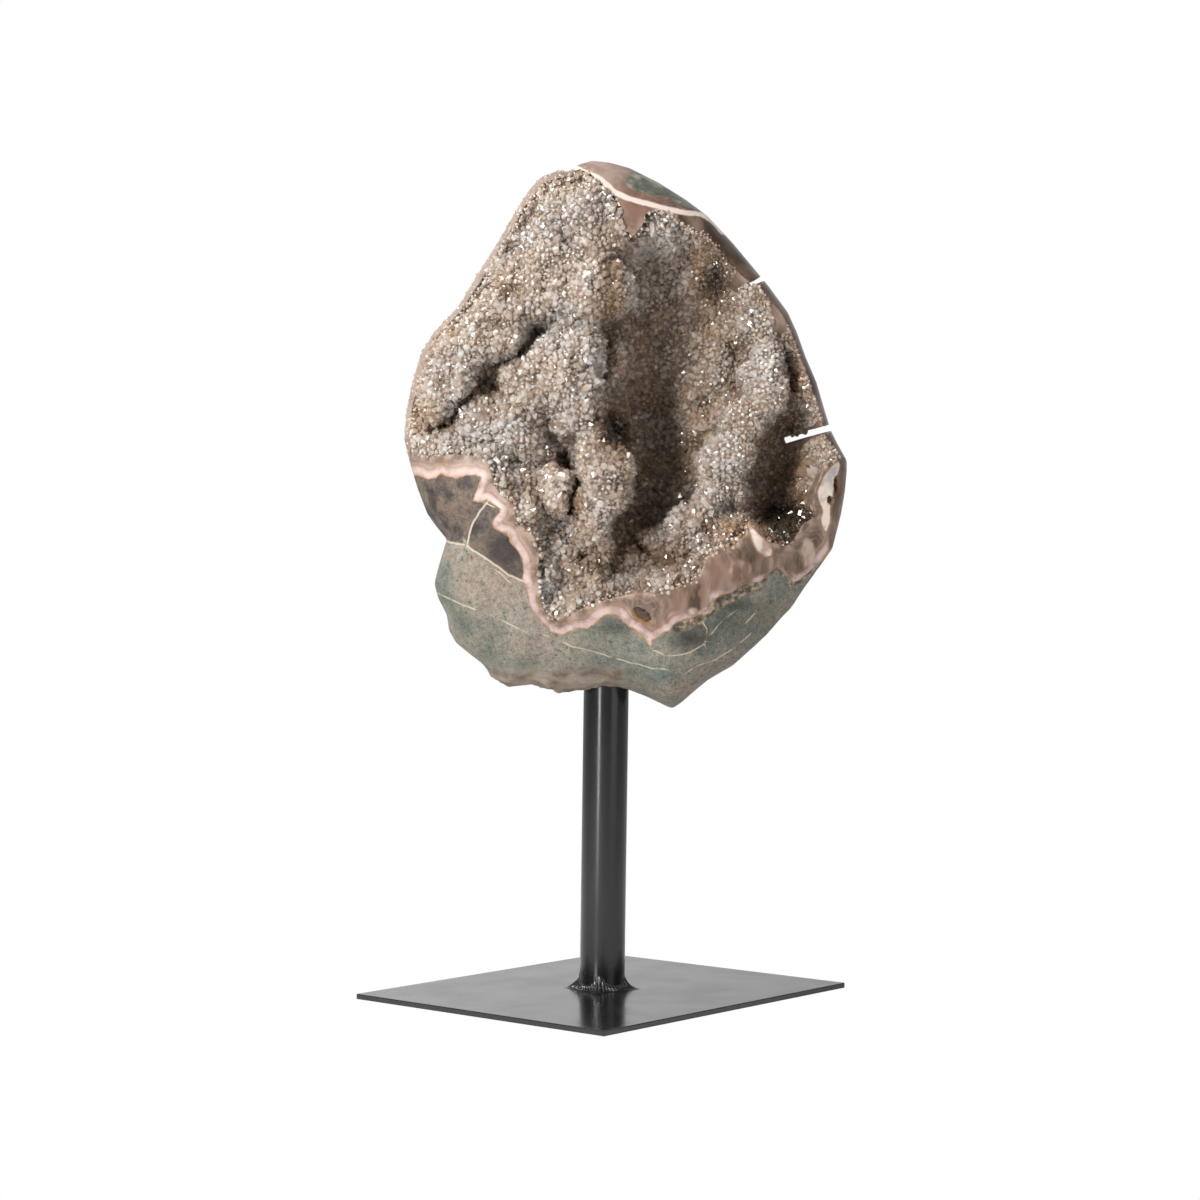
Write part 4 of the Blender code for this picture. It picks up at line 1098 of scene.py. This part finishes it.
def makeCrust():
    # A closed solid: the bumpy front under the crystals, and a plain back that shares its outline
    s = crustShape
    outline = crystalOutline()
    count = len(outline)
    flat, frontFaces, order = triangulated(outline, *gridInside(s["step"], 3))
    x, z = flat[:, 0], flat[:, 1]
    surface = np.stack([x, -crispHeight(x, z), z], axis=1)
    angle, distance = polar(x, z)
    fade = between(reachAt(crystalReach, angle) - distance, 0, s["fade"])
    bumps = sum(roughness3d(surface, *layer) for layer in s["bumps"])
    surface[:, 1] -= bumps * fade
    flatBack, backFaces, backOrder = triangulated(outline, *gridInside(s["bedStep"], 4))
    x, z = flatBack[:, 0], flatBack[:, 1]
    back = np.stack([x, -bedHeight(x, z), z], axis=1)
    frontAt = {origin: i for i, origin in enumerate(order) if origin < count}
    backAt = {origin: i + len(surface) for i, origin in enumerate(backOrder) if origin < count}
    faces = list(frontFaces) + [tuple(i + len(surface) for i in face[::-1]) for face in backFaces]
    for i in range(count):
        j = (i + 1) % count
        faces.append((frontAt[j], frontAt[i], backAt[i], backAt[j]))
    crust = makeMesh("crystalCrust", np.concatenate([surface, back]) * mm, faces)
    crust.data.shade_smooth()
    return crust, surface, np.array(frontFaces)


def crystalKind(name, tipShare, lean, seed):
    # A closed six-sided prism, its root at the origin, under a pyramid whose tip leans to one side
    rng = np.random.default_rng(seed)
    ring = [(math.cos(math.tau * k / 6), math.sin(math.tau * k / 6)) for k in range(6)]
    wide = rng.uniform(0.85, 1.1, 6)
    vertices = [(x * w, y * w, -0.8) for (x, y), w in zip(ring, wide)]
    vertices += [(x * w * 0.95, y * w * 0.95, 1 - tipShare + rng.uniform(-0.12, 0.12))
                 for (x, y), w in zip(ring, wide)]
    vertices.append((*lean, 1.0))
    faces = [tuple(range(6))[::-1]]
    for k in range(6):
        after = (k + 1) % 6
        faces.append((k, after, 6 + after, 6 + k))
        faces.append((6 + k, 6 + after, 12))
    mesh = bpy.data.meshes.new(name)
    mesh.from_pydata(vertices, [], faces)
    rise = mesh.attributes.new("rise", "FLOAT", "POINT")
    rise.data.foreach_set("value", [0.0] * 6 + [0.6] * 6 + [1.0])
    return bpy.data.objects.new(name, mesh)


def crystalKinds():
    kinds = bpy.data.collections.new("crystalKinds")
    shapes = ((0.5, (0.1, 0.05)), (0.65, (-0.25, 0.15)), (0.45, (0.3, -0.2)), (0.75, (-0.1, -0.3)))
    for number, (tip, lean) in enumerate(shapes):
        kinds.objects.link(crystalKind(f"crystalKind{number}", tip, lean, number))
    return kinds


# Random shares of a crystal's size, length and tint: lowest, highest, seed
crystalSpread = dict(size=(0.45, 1.4, 7), stretch=(0.7, 1.3, 8), tint=(0.0, 1.0, 9))


def growTree(name, kinds):
    # Scatters the kinds over a surface, one on each point, turned and leaning at random
    tree = bpy.data.node_groups.new(name, "GeometryNodeTree")
    face = tree.interface
    face.new_socket("Geometry", in_out="INPUT", socket_type="NodeSocketGeometry")
    for label, value in (("Spacing", 0.002), ("Density", 1e6), ("Radius", 0.001), ("Length", 0.003),
                         ("Lean", 0.5)):
        face.new_socket(label, in_out="INPUT", socket_type="NodeSocketFloat").default_value = value
    face.new_socket("Seed", in_out="INPUT", socket_type="NodeSocketInt").default_value = 1
    face.new_socket("Material", in_out="INPUT", socket_type="NodeSocketMaterial")
    face.new_socket("Geometry", in_out="OUTPUT", socket_type="NodeSocketGeometry")
    bench = nodeBench(tree, None)
    given = tree.nodes.new("NodeGroupInput").outputs

    def spread(key):
        low, high, seed = crystalSpread[key]
        node = bench.add("FunctionNodeRandomValue", dict(data_type="FLOAT"), Seed=seed)
        node.inputs[2].default_value, node.inputs[3].default_value = low, high
        return node.outputs[1]

    scatter = bench.add(
        "GeometryNodeDistributePointsOnFaces", dict(distribute_method="POISSON"), Mesh=given["Geometry"],
        Seed=given["Seed"], Distance_Min=given["Spacing"], Density_Max=given["Density"])
    turn = bench.add("FunctionNodeRandomValue", dict(data_type="FLOAT_VECTOR"), Seed=given["Seed"])
    for socket, lean, spin in ((0, bench.times(given["Lean"], -1.0), -3.14), (1, given["Lean"], 3.14)):
        bench.put(turn.inputs[socket], bench.add("ShaderNodeCombineXYZ", X=lean, Y=lean, Z=spin).outputs[0])
    asRotation = bench.add("FunctionNodeEulerToRotation", Euler=turn.outputs[0])
    rotation = bench.add("FunctionNodeRotateRotation", dict(rotation_space="LOCAL"))
    bench.put(rotation.inputs[0], scatter.outputs["Rotation"])
    bench.put(rotation.inputs[1], asRotation.outputs[0])
    grain = bench.add("GeometryNodeInputNamedAttribute", dict(data_type="FLOAT"), Name="grain")
    size = bench.times(spread("size"), grain.outputs[0])
    wide, tall = bench.times(size, given["Radius"]), bench.times(size, given["Length"])
    tall = bench.times(tall, spread("stretch"))
    scale = bench.add("ShaderNodeCombineXYZ", X=wide, Y=wide, Z=tall)
    source = bench.add("GeometryNodeCollectionInfo", Collection=kinds, Separate_Children=True,
                       Reset_Children=True)
    pick = bench.add("FunctionNodeRandomValue", dict(data_type="INT"))
    pick.inputs[4].default_value, pick.inputs[5].default_value = 0, len(kinds.objects) - 1
    placed = bench.add(
        "GeometryNodeInstanceOnPoints", Points=scatter.outputs["Points"], Instance=source.outputs[0],
        Rotation=rotation.outputs[0], Scale=scale.outputs[0], Pick_Instance=True,
        Instance_Index=pick.outputs[2])
    keep = bench.add(
        "GeometryNodeStoreNamedAttribute", dict(data_type="FLOAT", domain="INSTANCE"),
        Geometry=placed.outputs[0], Name="tint", Value=spread("tint"))
    real = bench.add("GeometryNodeRealizeInstances", Geometry=keep.outputs[0])
    flat = bench.add("GeometryNodeSetShadeSmooth", Geometry=real.outputs[0], Shade_Smooth=False)
    dressed = bench.add("GeometryNodeSetMaterial", Geometry=flat.outputs[0], Material=given["Material"])
    bench.put(tree.nodes.new("NodeGroupOutput").inputs[0], dressed.outputs[0])
    return tree
def grown(piece, tree, **inputs):
    # Runs the tree on a piece with these inputs and keeps the result as its plain mesh
    sockets = {item.name: item.identifier for item in tree.interface.items_tree if item.in_out == "INPUT"}
    step = piece.modifiers.new("grow", "NODES")
    step.node_group = tree
    for key, value in inputs.items():
        step[sockets[key]] = value
    return baked(piece)


# Zone: spacing, radius and length of its crystals in mm, lean in radians
crystalZones = dict(
    crystalsUpperRidge=(2.55, 1.85, 2.5, 0.65),
    crystalsLeftLobes=(2.6, 1.95, 2.8, 0.7),
    crystalsCavity=(2.6, 1.9, 2.7, 0.7),
    crystalsRightWall=(2.1, 1.5, 1.8, 0.5),
    crystalsLowerSlope=(2.7, 1.95, 2.9, 0.75),
    clearRimCrystals=(3.3, 2.4, 3.8, 0.7),
)
fineCrystals = (1.68, 1.1, 1.25, 0.7)
fineSeed, rimSeed = 11, 13
# Strips round the crust's edge: first and last angle, rows, width (None is up to the silhouette), lift; sizes
rimCrystals = dict(
    crystalsLeftRim=((108, 197, (-0.6, 0.2, 0.95), None, -0.2), (2.0, 1.5, 1.3, 0.5)),
    crystalsOnAgate=((199, 318, (-0.8, 0.0, 1.1), 1.7, -0.4), (2.1, 1.7, 1.6, 0.7)),
    crystalsAtNotch=((58, 105, (-1.2, 0.0, 0.8), 1.7, -0.4), (1.9, 1.4, 1.3, 0.7)),
)
rimStep = 0.8
# Borders of the zones in mm, and the parts of the rim with clear crystals
zoneLimits = dict(
    ridgeRight=14, foot=300, lobeTop=344, lobeSlope=0.35, wallLeft=62, wallFoot=240, rim=6.5,
    clearBelow=(-20, 34, 240), clearRight=(96, 299),
)
# Grain near the rim, how the crystals darken with depth (smoky quartz, and painted shade) and the scatter's
# density
crystalLook = dict(rimGrain=0.65, grainReach=12, smokeShadeFrom=10, smokeShadeDepth=140, smokeShadeMost=0.24, density=2.2e6)
sawClearance = 2.2
barePatches = (((18.5, 434), (3.6, 9)), ((98, 384), (5, 14)))
# Soft spots: (x, z), (half width, half height), strength. These darken the crystals: smoky quartz, and
# painted shade in the cavity and the pockets
smokyAndShadeSpots = (
    ((104, 296), (14, 22), 0.55), ((106, 345), (8, 16), 0.4), ((104, 266), (16, 16), 1.7),
    ((63, 404), (11, 18), 1.0), ((20, 276), (10, 15), 0.3), ((5, 316), (9, 15), 1.4),
    ((3, 393), (6, 24), 0.7),
    ((-2, 243), (18, 11), 0.4), ((-26, 299), (7, 6), 0.3), ((-15, 275), (3.5, 6), 0.5),
    ((66, 262), (14, 8), 0.4),
    ((8, 340), (5, 34), 0.25), ((36, 246), (14, 8), 0.5), ((-88, 318), (8, 5), 0.4),
    ((-96, 327), (7, 7), 0.35),
    ((50, 270), (8, 8), 0.3),
)
# These make the crystals paler: paler crystals, and painted light where the relief shades them
paleAndLitSpots = (
    ((-73, 311), (26, 9), 0.9), ((-29, 283), (9, 10), 0.7), ((91, 351), (9, 8), 1.8),
    ((31, 417), (17, 16), 0.8),
    ((-75, 311), (10, 6), 1.0), ((57, 273), (9, 8), 1.0), ((-20, 395), (22, 30), 0.35),
    ((-32, 222), (8, 18), 0.6), ((-3, 354), (8, 8), 0.9), ((-33, 228), (9, 10), 1.6),
    ((-53, 300), (8, 12), 0.5), ((0, 285), (8, 18), 0.3),
)


def zoneOf(x, z, inside):
    # The number of each point's zone in crystalZones
    s = zoneLimits
    zone = np.full(len(x), 2)
    ridge = (x < s["ridgeRight"]) & (z > s["foot"])
    zone[ridge] = 0
    zone[ridge & (z < s["lobeTop"] - s["lobeSlope"] * x)] = 1
    zone[(x > s["wallLeft"]) & (z > s["wallFoot"])] = 3
    low = z <= s["foot"]
    zone[low] = np.where(x[low] < s["wallLeft"], 4, 3)
    (left, right, top), (side, sideTop) = s["clearBelow"], s["clearRight"]
    clear = ((x > left) & (x < right) & (z < top)) | ((x > side) & (z < sideTop))
    zone[(inside < s["rim"]) & clear] = 5
    return zone


def growPiece(name, spots, faces, tree, paint, sizes, seed):
    # Crystals on a part of the surface; points in mm
    s = crystalLook
    spacing, radius, length, lean = sizes
    used, index = np.unique(faces, return_inverse=True)
    places = spots[used]
    piece = makeMesh(name, places * mm, [tuple(f) for f in index.reshape(-1, 3).tolist()])
    x, z = places[:, 0], places[:, 2]
    angle, distance = polar(x, z)
    inside = reachAt(crystalReach, angle) - distance
    addAttribute(piece, "grain", np.clip(s["rimGrain"] + inside / s["grainReach"], s["rimGrain"], 1.0))
    # Darker the deeper a point lies behind the front: smoky quartz, and painted shade in the hollow
    smokeAndShade = np.clip((s["smokeShadeFrom"] + places[:, 1]) / s["smokeShadeDepth"], 0, s["smokeShadeMost"])
    addAttribute(piece, "smokeAndShade", np.maximum(smokeAndShade, softSpots(x, z, smokyAndShadeSpots)))
    # Paler crystals, and painted light where the relief shades them
    addAttribute(piece, "pale", softSpots(x, z, paleAndLitSpots))
    grown(piece, tree, Spacing=spacing * mm, Density=s["density"] / spacing ** 2, Radius=radius * mm,
          Length=length * mm, Lean=lean, Seed=seed, Material=paint)
    print(name, "triangles", sum(len(f.vertices) - 2 for f in piece.data.polygons))
    finishPiece(piece, "quartz", "crystal_crust")
def rimStrip(first, last, shares, reach, lift):
    # A strip of the front between two angles, across the crust's edge, that crystals cover too
    angle = np.radians(np.arange(first, last, rimStep))
    inner = reachAt(crystalReach, angle)
    width = reachAt(outerReach, angle) - inner if reach is None else reach
    rows = []
    for share in shares:
        distance = inner + width * share
        x, z = centre[0] + distance * np.cos(angle), centre[1] + distance * np.sin(angle)
        rows.append(np.stack([x, -(domeHeight(x, z) + lift), z], axis=1))
    count = len(angle)
    faces = []
    for row in range(len(shares) - 1):
        for k in range(count - 1):
            a, b = row * count + k, row * count + k + 1
            faces += [(a, a + count, b), (b, a + count, b + count)]
    return np.concatenate(rows), np.array(faces)


def makeCrystals(surface, triangles, paint):
    kinds = crystalKinds()
    tree = growTree("growCrystals", kinds)
    middles = surface[triangles].mean(axis=1)
    x, z = middles[:, 0], middles[:, 2]
    free = ~nearSawCut(middles, sawClearance)
    for (px, pz), (wide, high) in barePatches:
        free &= ((x - px) / wide) ** 2 + ((z - pz) / high) ** 2 > 1
    angle, distance = polar(x, z)
    zones = zoneOf(x, z, reachAt(crystalReach, angle) - distance)
    for number, (name, sizes) in enumerate(crystalZones.items()):
        growPiece(name, surface, triangles[(zones == number) & free], tree, paint, sizes, number + 1)
    left = x < zoneLimits["ridgeRight"]
    for number, (name, part) in enumerate((("fineCrystalsLeft", left), ("fineCrystalsRight", ~left))):
        growPiece(name, surface, triangles[part & free], tree, paint, fineCrystals, fineSeed + number)
    for number, (name, (strip, sizes)) in enumerate(rimCrystals.items()):
        growPiece(name, *rimStrip(*strip), tree, paint, sizes, rimSeed + number)
    for kind in list(kinds.objects):
        bpy.data.objects.remove(kind)
    bpy.data.collections.remove(kinds)
# Stops of the colour ramps of the druse's bed and of its crystals
quartzRamps = dict(
    bed=((0.38, (0.105, 0.073, 0.052)), (0.5, (0.14, 0.096, 0.069)), (0.62, (0.175, 0.118, 0.083))),
    tip=((0.0, (0.50, 0.395, 0.315)), (0.4, (0.79, 0.69, 0.60)), (0.8, (0.93, 0.885, 0.835)),
         (1.0, (0.98, 0.98, 0.96))),
    root=((0.38, (0.42, 0.32, 0.25)), (0.52, (0.49, 0.36, 0.275)), (0.64, (0.56, 0.37, 0.25))),
    warm=((0.42, (1.0, 1.0, 1.0)), (0.56, (1.0, 0.95, 0.88)), (0.66, (0.97, 0.86, 0.74))),
    # Darkening for smoky quartz and painted shade
    murkAndShade=((0.0, (1.0, 1.0, 1.0)), (0.35, (0.76, 0.64, 0.53)), (0.7, (0.42, 0.33, 0.255)),
          (1.0, (0.13, 0.105, 0.082))),
)
quartzLook = dict(pale=(0.92, 0.88, 0.84), paleAndLitShare=0.55, roughness=0.04, ior=1.544, clear=0.6)


def crustMaterial(mottle):
    made, s = newMaterial("druseBed")
    marks = s.group(mottle, Patch_Scale=40.0, Speck_Scale=420.0, Speck_Share=0.64)
    bed = s.ramp(marks["Patches"], *quartzRamps["bed"])
    return dress(made, Base_Color=bed, Roughness=0.5, Normal=s.bump(marks["Grain"], 0.0005, 0.4))


def quartzMaterial():
    made, s = newMaterial("clearQuartz")
    look, ramps = quartzLook, quartzRamps
    tint, rise, smokeAndShade, pale = (s.attribute(name) for name in ("tint", "rise", "smokeAndShade", "pale"))
    root = s.ramp(s.noise(26, 3), *ramps["root"])
    colour = s.mix(s.span(rise, 0.0, 1.0, 0.3, 0.95), root, s.ramp(tint, *ramps["tip"]))
    colour = s.shaded(colour, s.ramp(s.noise(34, 3), *ramps["warm"]))
    # Paler crystals, and painted light where the relief shades them
    colour = s.tint(colour, pale, look["paleAndLitShare"], look["pale"])
    # Darkened with depth and in the darker spots: smoky quartz, and painted shade
    colour = s.shaded(colour, s.ramp(smokeAndShade, *ramps["murkAndShade"]))
    return dress(made, Base_Color=colour, Roughness=look["roughness"], IOR=look["ior"],
                 Transmission_Weight=look["clear"])
# Stand
standShape = dict(
    plate=(0.211, 0.182, 0.003), plateTurn=49.1, plateRound=0.0005, plateRoundSteps=3, postRadius=0.0127,
    postFoot=-0.0012, postLean=0.8, postGap=0.0006, postTop=0.212, postSides=128, postSharp=40,
)
weldShape = dict(
    low=0.0032, high=0.0088, lowReach=0.0028, reach=0.0088, turn=-7.0, around=256, along=16, sharpness=6,
    gap=0.0001, foot=0.0031, inset=0.0004, hollow=1.8, ripple=0.0003, ripples=46, rippleSlant=3,
    unevenness=0.0005, unevenTurns=3, unevenRise=2, sharp=70,
)
# Name, colour, roughness, share of the dust and its scale
paints = dict(
    post=("blackPostSteel", (0.0025, 0.0025, 0.003), 0.2, 0.0, 900.0),
    plate=("blackPlateSteel", (0.010, 0.010, 0.0105), 0.19, 0.8, 210.0),
    weld=("blackWeld", (0.01, 0.01, 0.011), 0.15, 0.0, 900.0),
)
paintLook = dict(dustSize=0.11, dust=(0.005, 0.005, 0.005), dark=0.75, light=1.25, glossier=-0.03,
                 rougher=0.04)


def paintMaterial(paint, name, colour, roughness, dust, dustScale):
    made, s = newMaterial(name)
    look = paintLook
    marks = s.group(paint, Dust_Scale=dustScale, Dust_Size=look["dustSize"])
    tone = s.mix(marks["Tone"], *(tuple(c * look[share] for c in colour) for share in ("dark", "light")))
    tone = s.tint(tone, marks["Dust"], dust, look["dust"])
    gloss = s.span(marks["Tone"], 0.3, 0.7, roughness + look["glossier"], roughness + look["rougher"])
    gloss = s.maths("MAXIMUM", gloss, s.times(marks["Dust"], dust))
    return dress(made, Base_Color=tone, Roughness=gloss, Normal=s.bump(marks["Grain"], 0.0001, 0.12))


def makePost():
    s = standShape
    bm = bmesh.new()
    lean = math.radians(s["postLean"])
    axis = Vector((math.sin(lean), 0, math.cos(lean)))
    bottom, top = s["plate"][2] + s["postGap"], s["postTop"]
    at = Matrix.Translation(Vector((s["postFoot"], 0, 0)) + axis * (bottom + top) / 2)
    bmesh.ops.create_cone(bm, cap_ends=True, segments=s["postSides"], radius1=s["postRadius"],
                          radius2=s["postRadius"], depth=top - bottom,
                          matrix=at @ Matrix.Rotation(lean, 4, "Y"))
    post = pieceFrom(bm, "steelPost")
    post.data.shade_smooth()
    post.data.set_sharp_from_angle(angle=math.radians(s["postSharp"]))
    return post


def makePlate():
    s = standShape
    bm = bmesh.new()
    size = Matrix.Diagonal((*s["plate"], 1))
    bmesh.ops.create_cube(bm, size=1, matrix=Matrix.Translation((0, 0, s["plate"][2] / 2)) @ size)
    turn = Matrix.Rotation(math.radians(s["plateTurn"]), 3, "Z")
    bmesh.ops.rotate(bm, cent=(0, 0, 0), matrix=turn, verts=bm.verts)
    plate = pieceFrom(bm, "basePlate")
    bevel = plate.modifiers.new("edges", "BEVEL")
    bevel.width, bevel.segments = s["plateRound"], s["plateRoundSteps"]
    return baked(plate)


def weldRow(angle):
    # One section of the fillet: its concave face from the plate up to the post, and its inner side
    s, radius = weldShape, standShape["postRadius"] + weldShape["gap"]
    pointed = abs(math.cos(2 * (angle - math.radians(s["turn"])))) ** s["sharpness"]
    reach = s["lowReach"] + (s["reach"] - s["lowReach"]) * pointed
    high = s["low"] + (s["high"] - s["low"]) * pointed
    turns, row = s["unevenTurns"], []
    for step in range(s["along"] + 1):
        share = step / s["along"]
        swell = math.sin(share * math.pi)
        ripple = s["ripple"] * math.sin(angle * s["ripples"] + share * s["rippleSlant"]) * swell
        place = Vector((math.cos(angle) * turns, math.sin(angle) * turns, share * s["unevenRise"]))
        ripple += s["unevenness"] * noise.noise(place) * swell
        row.append((radius + reach * (1 - share) ** s["hollow"] + ripple,
                    s["foot"] + high * share ** s["hollow"] + ripple))
    row += [(radius - s["inset"], s["foot"] + high), (radius - s["inset"], s["foot"])]
    return [(r * math.cos(angle) + standShape["postFoot"], r * math.sin(angle), z) for r, z in row]


def makeWeld():
    # A concave fillet round the post's foot, drawn out to four points, with the ripples of its bead
    around = weldShape["around"]
    rows = [weldRow(math.tau * k / around) for k in range(around)]
    count = len(rows[0])
    faces = []
    for k in range(around):
        here, after = k * count, (k + 1) % around * count
        for step in range(count):
            above = (step + 1) % count
            faces.append((here + step, after + step, after + above, here + above))
    weld = makeMesh("weldFillet", [spot for row in rows for spot in row], faces)
    weld.data.shade_smooth()
    weld.data.set_sharp_from_angle(angle=math.radians(weldShape["sharp"]))
    return weld


makeCamera()
makeWorld()
for lightName, values in softboxes.items():
    makeSoftbox(lightName, *values)
makeFloor()
print("camera and studio ready")
mottle = mineralGroup()
cutter = sawCutter()
stone = cutWith(makeStone(), cutter)
stone.data.materials.append(stoneMaterial(mottle))
finishPiece(stone, "stone", "geode_stone")
print("stone ready, triangles", sum(len(f.vertices) - 2 for f in stone.data.polygons))

crust, crustSurface, crustTriangles = makeCrust()
cutWith(crust, cutter)
crust.data.materials.append(crustMaterial(mottle))
finishPiece(crust, "quartz", "crystal_crust")
makeCrystals(crustSurface, crustTriangles, quartzMaterial())
bpy.data.objects.remove(cutter)
print("crust and crystals ready")

paint = paintGroup()
for make, look, slot, node in ((makePost, "post", "post_steel", "post"),
                               (makePlate, "plate", "plate_steel", "base_plate"),
                               (makeWeld, "weld", "weld", "weld_collar")):
    piece = make()
    piece.data.materials.append(paintMaterial(paint, *paints[look]))
    finishPiece(piece, slot, node)
print("stand ready")
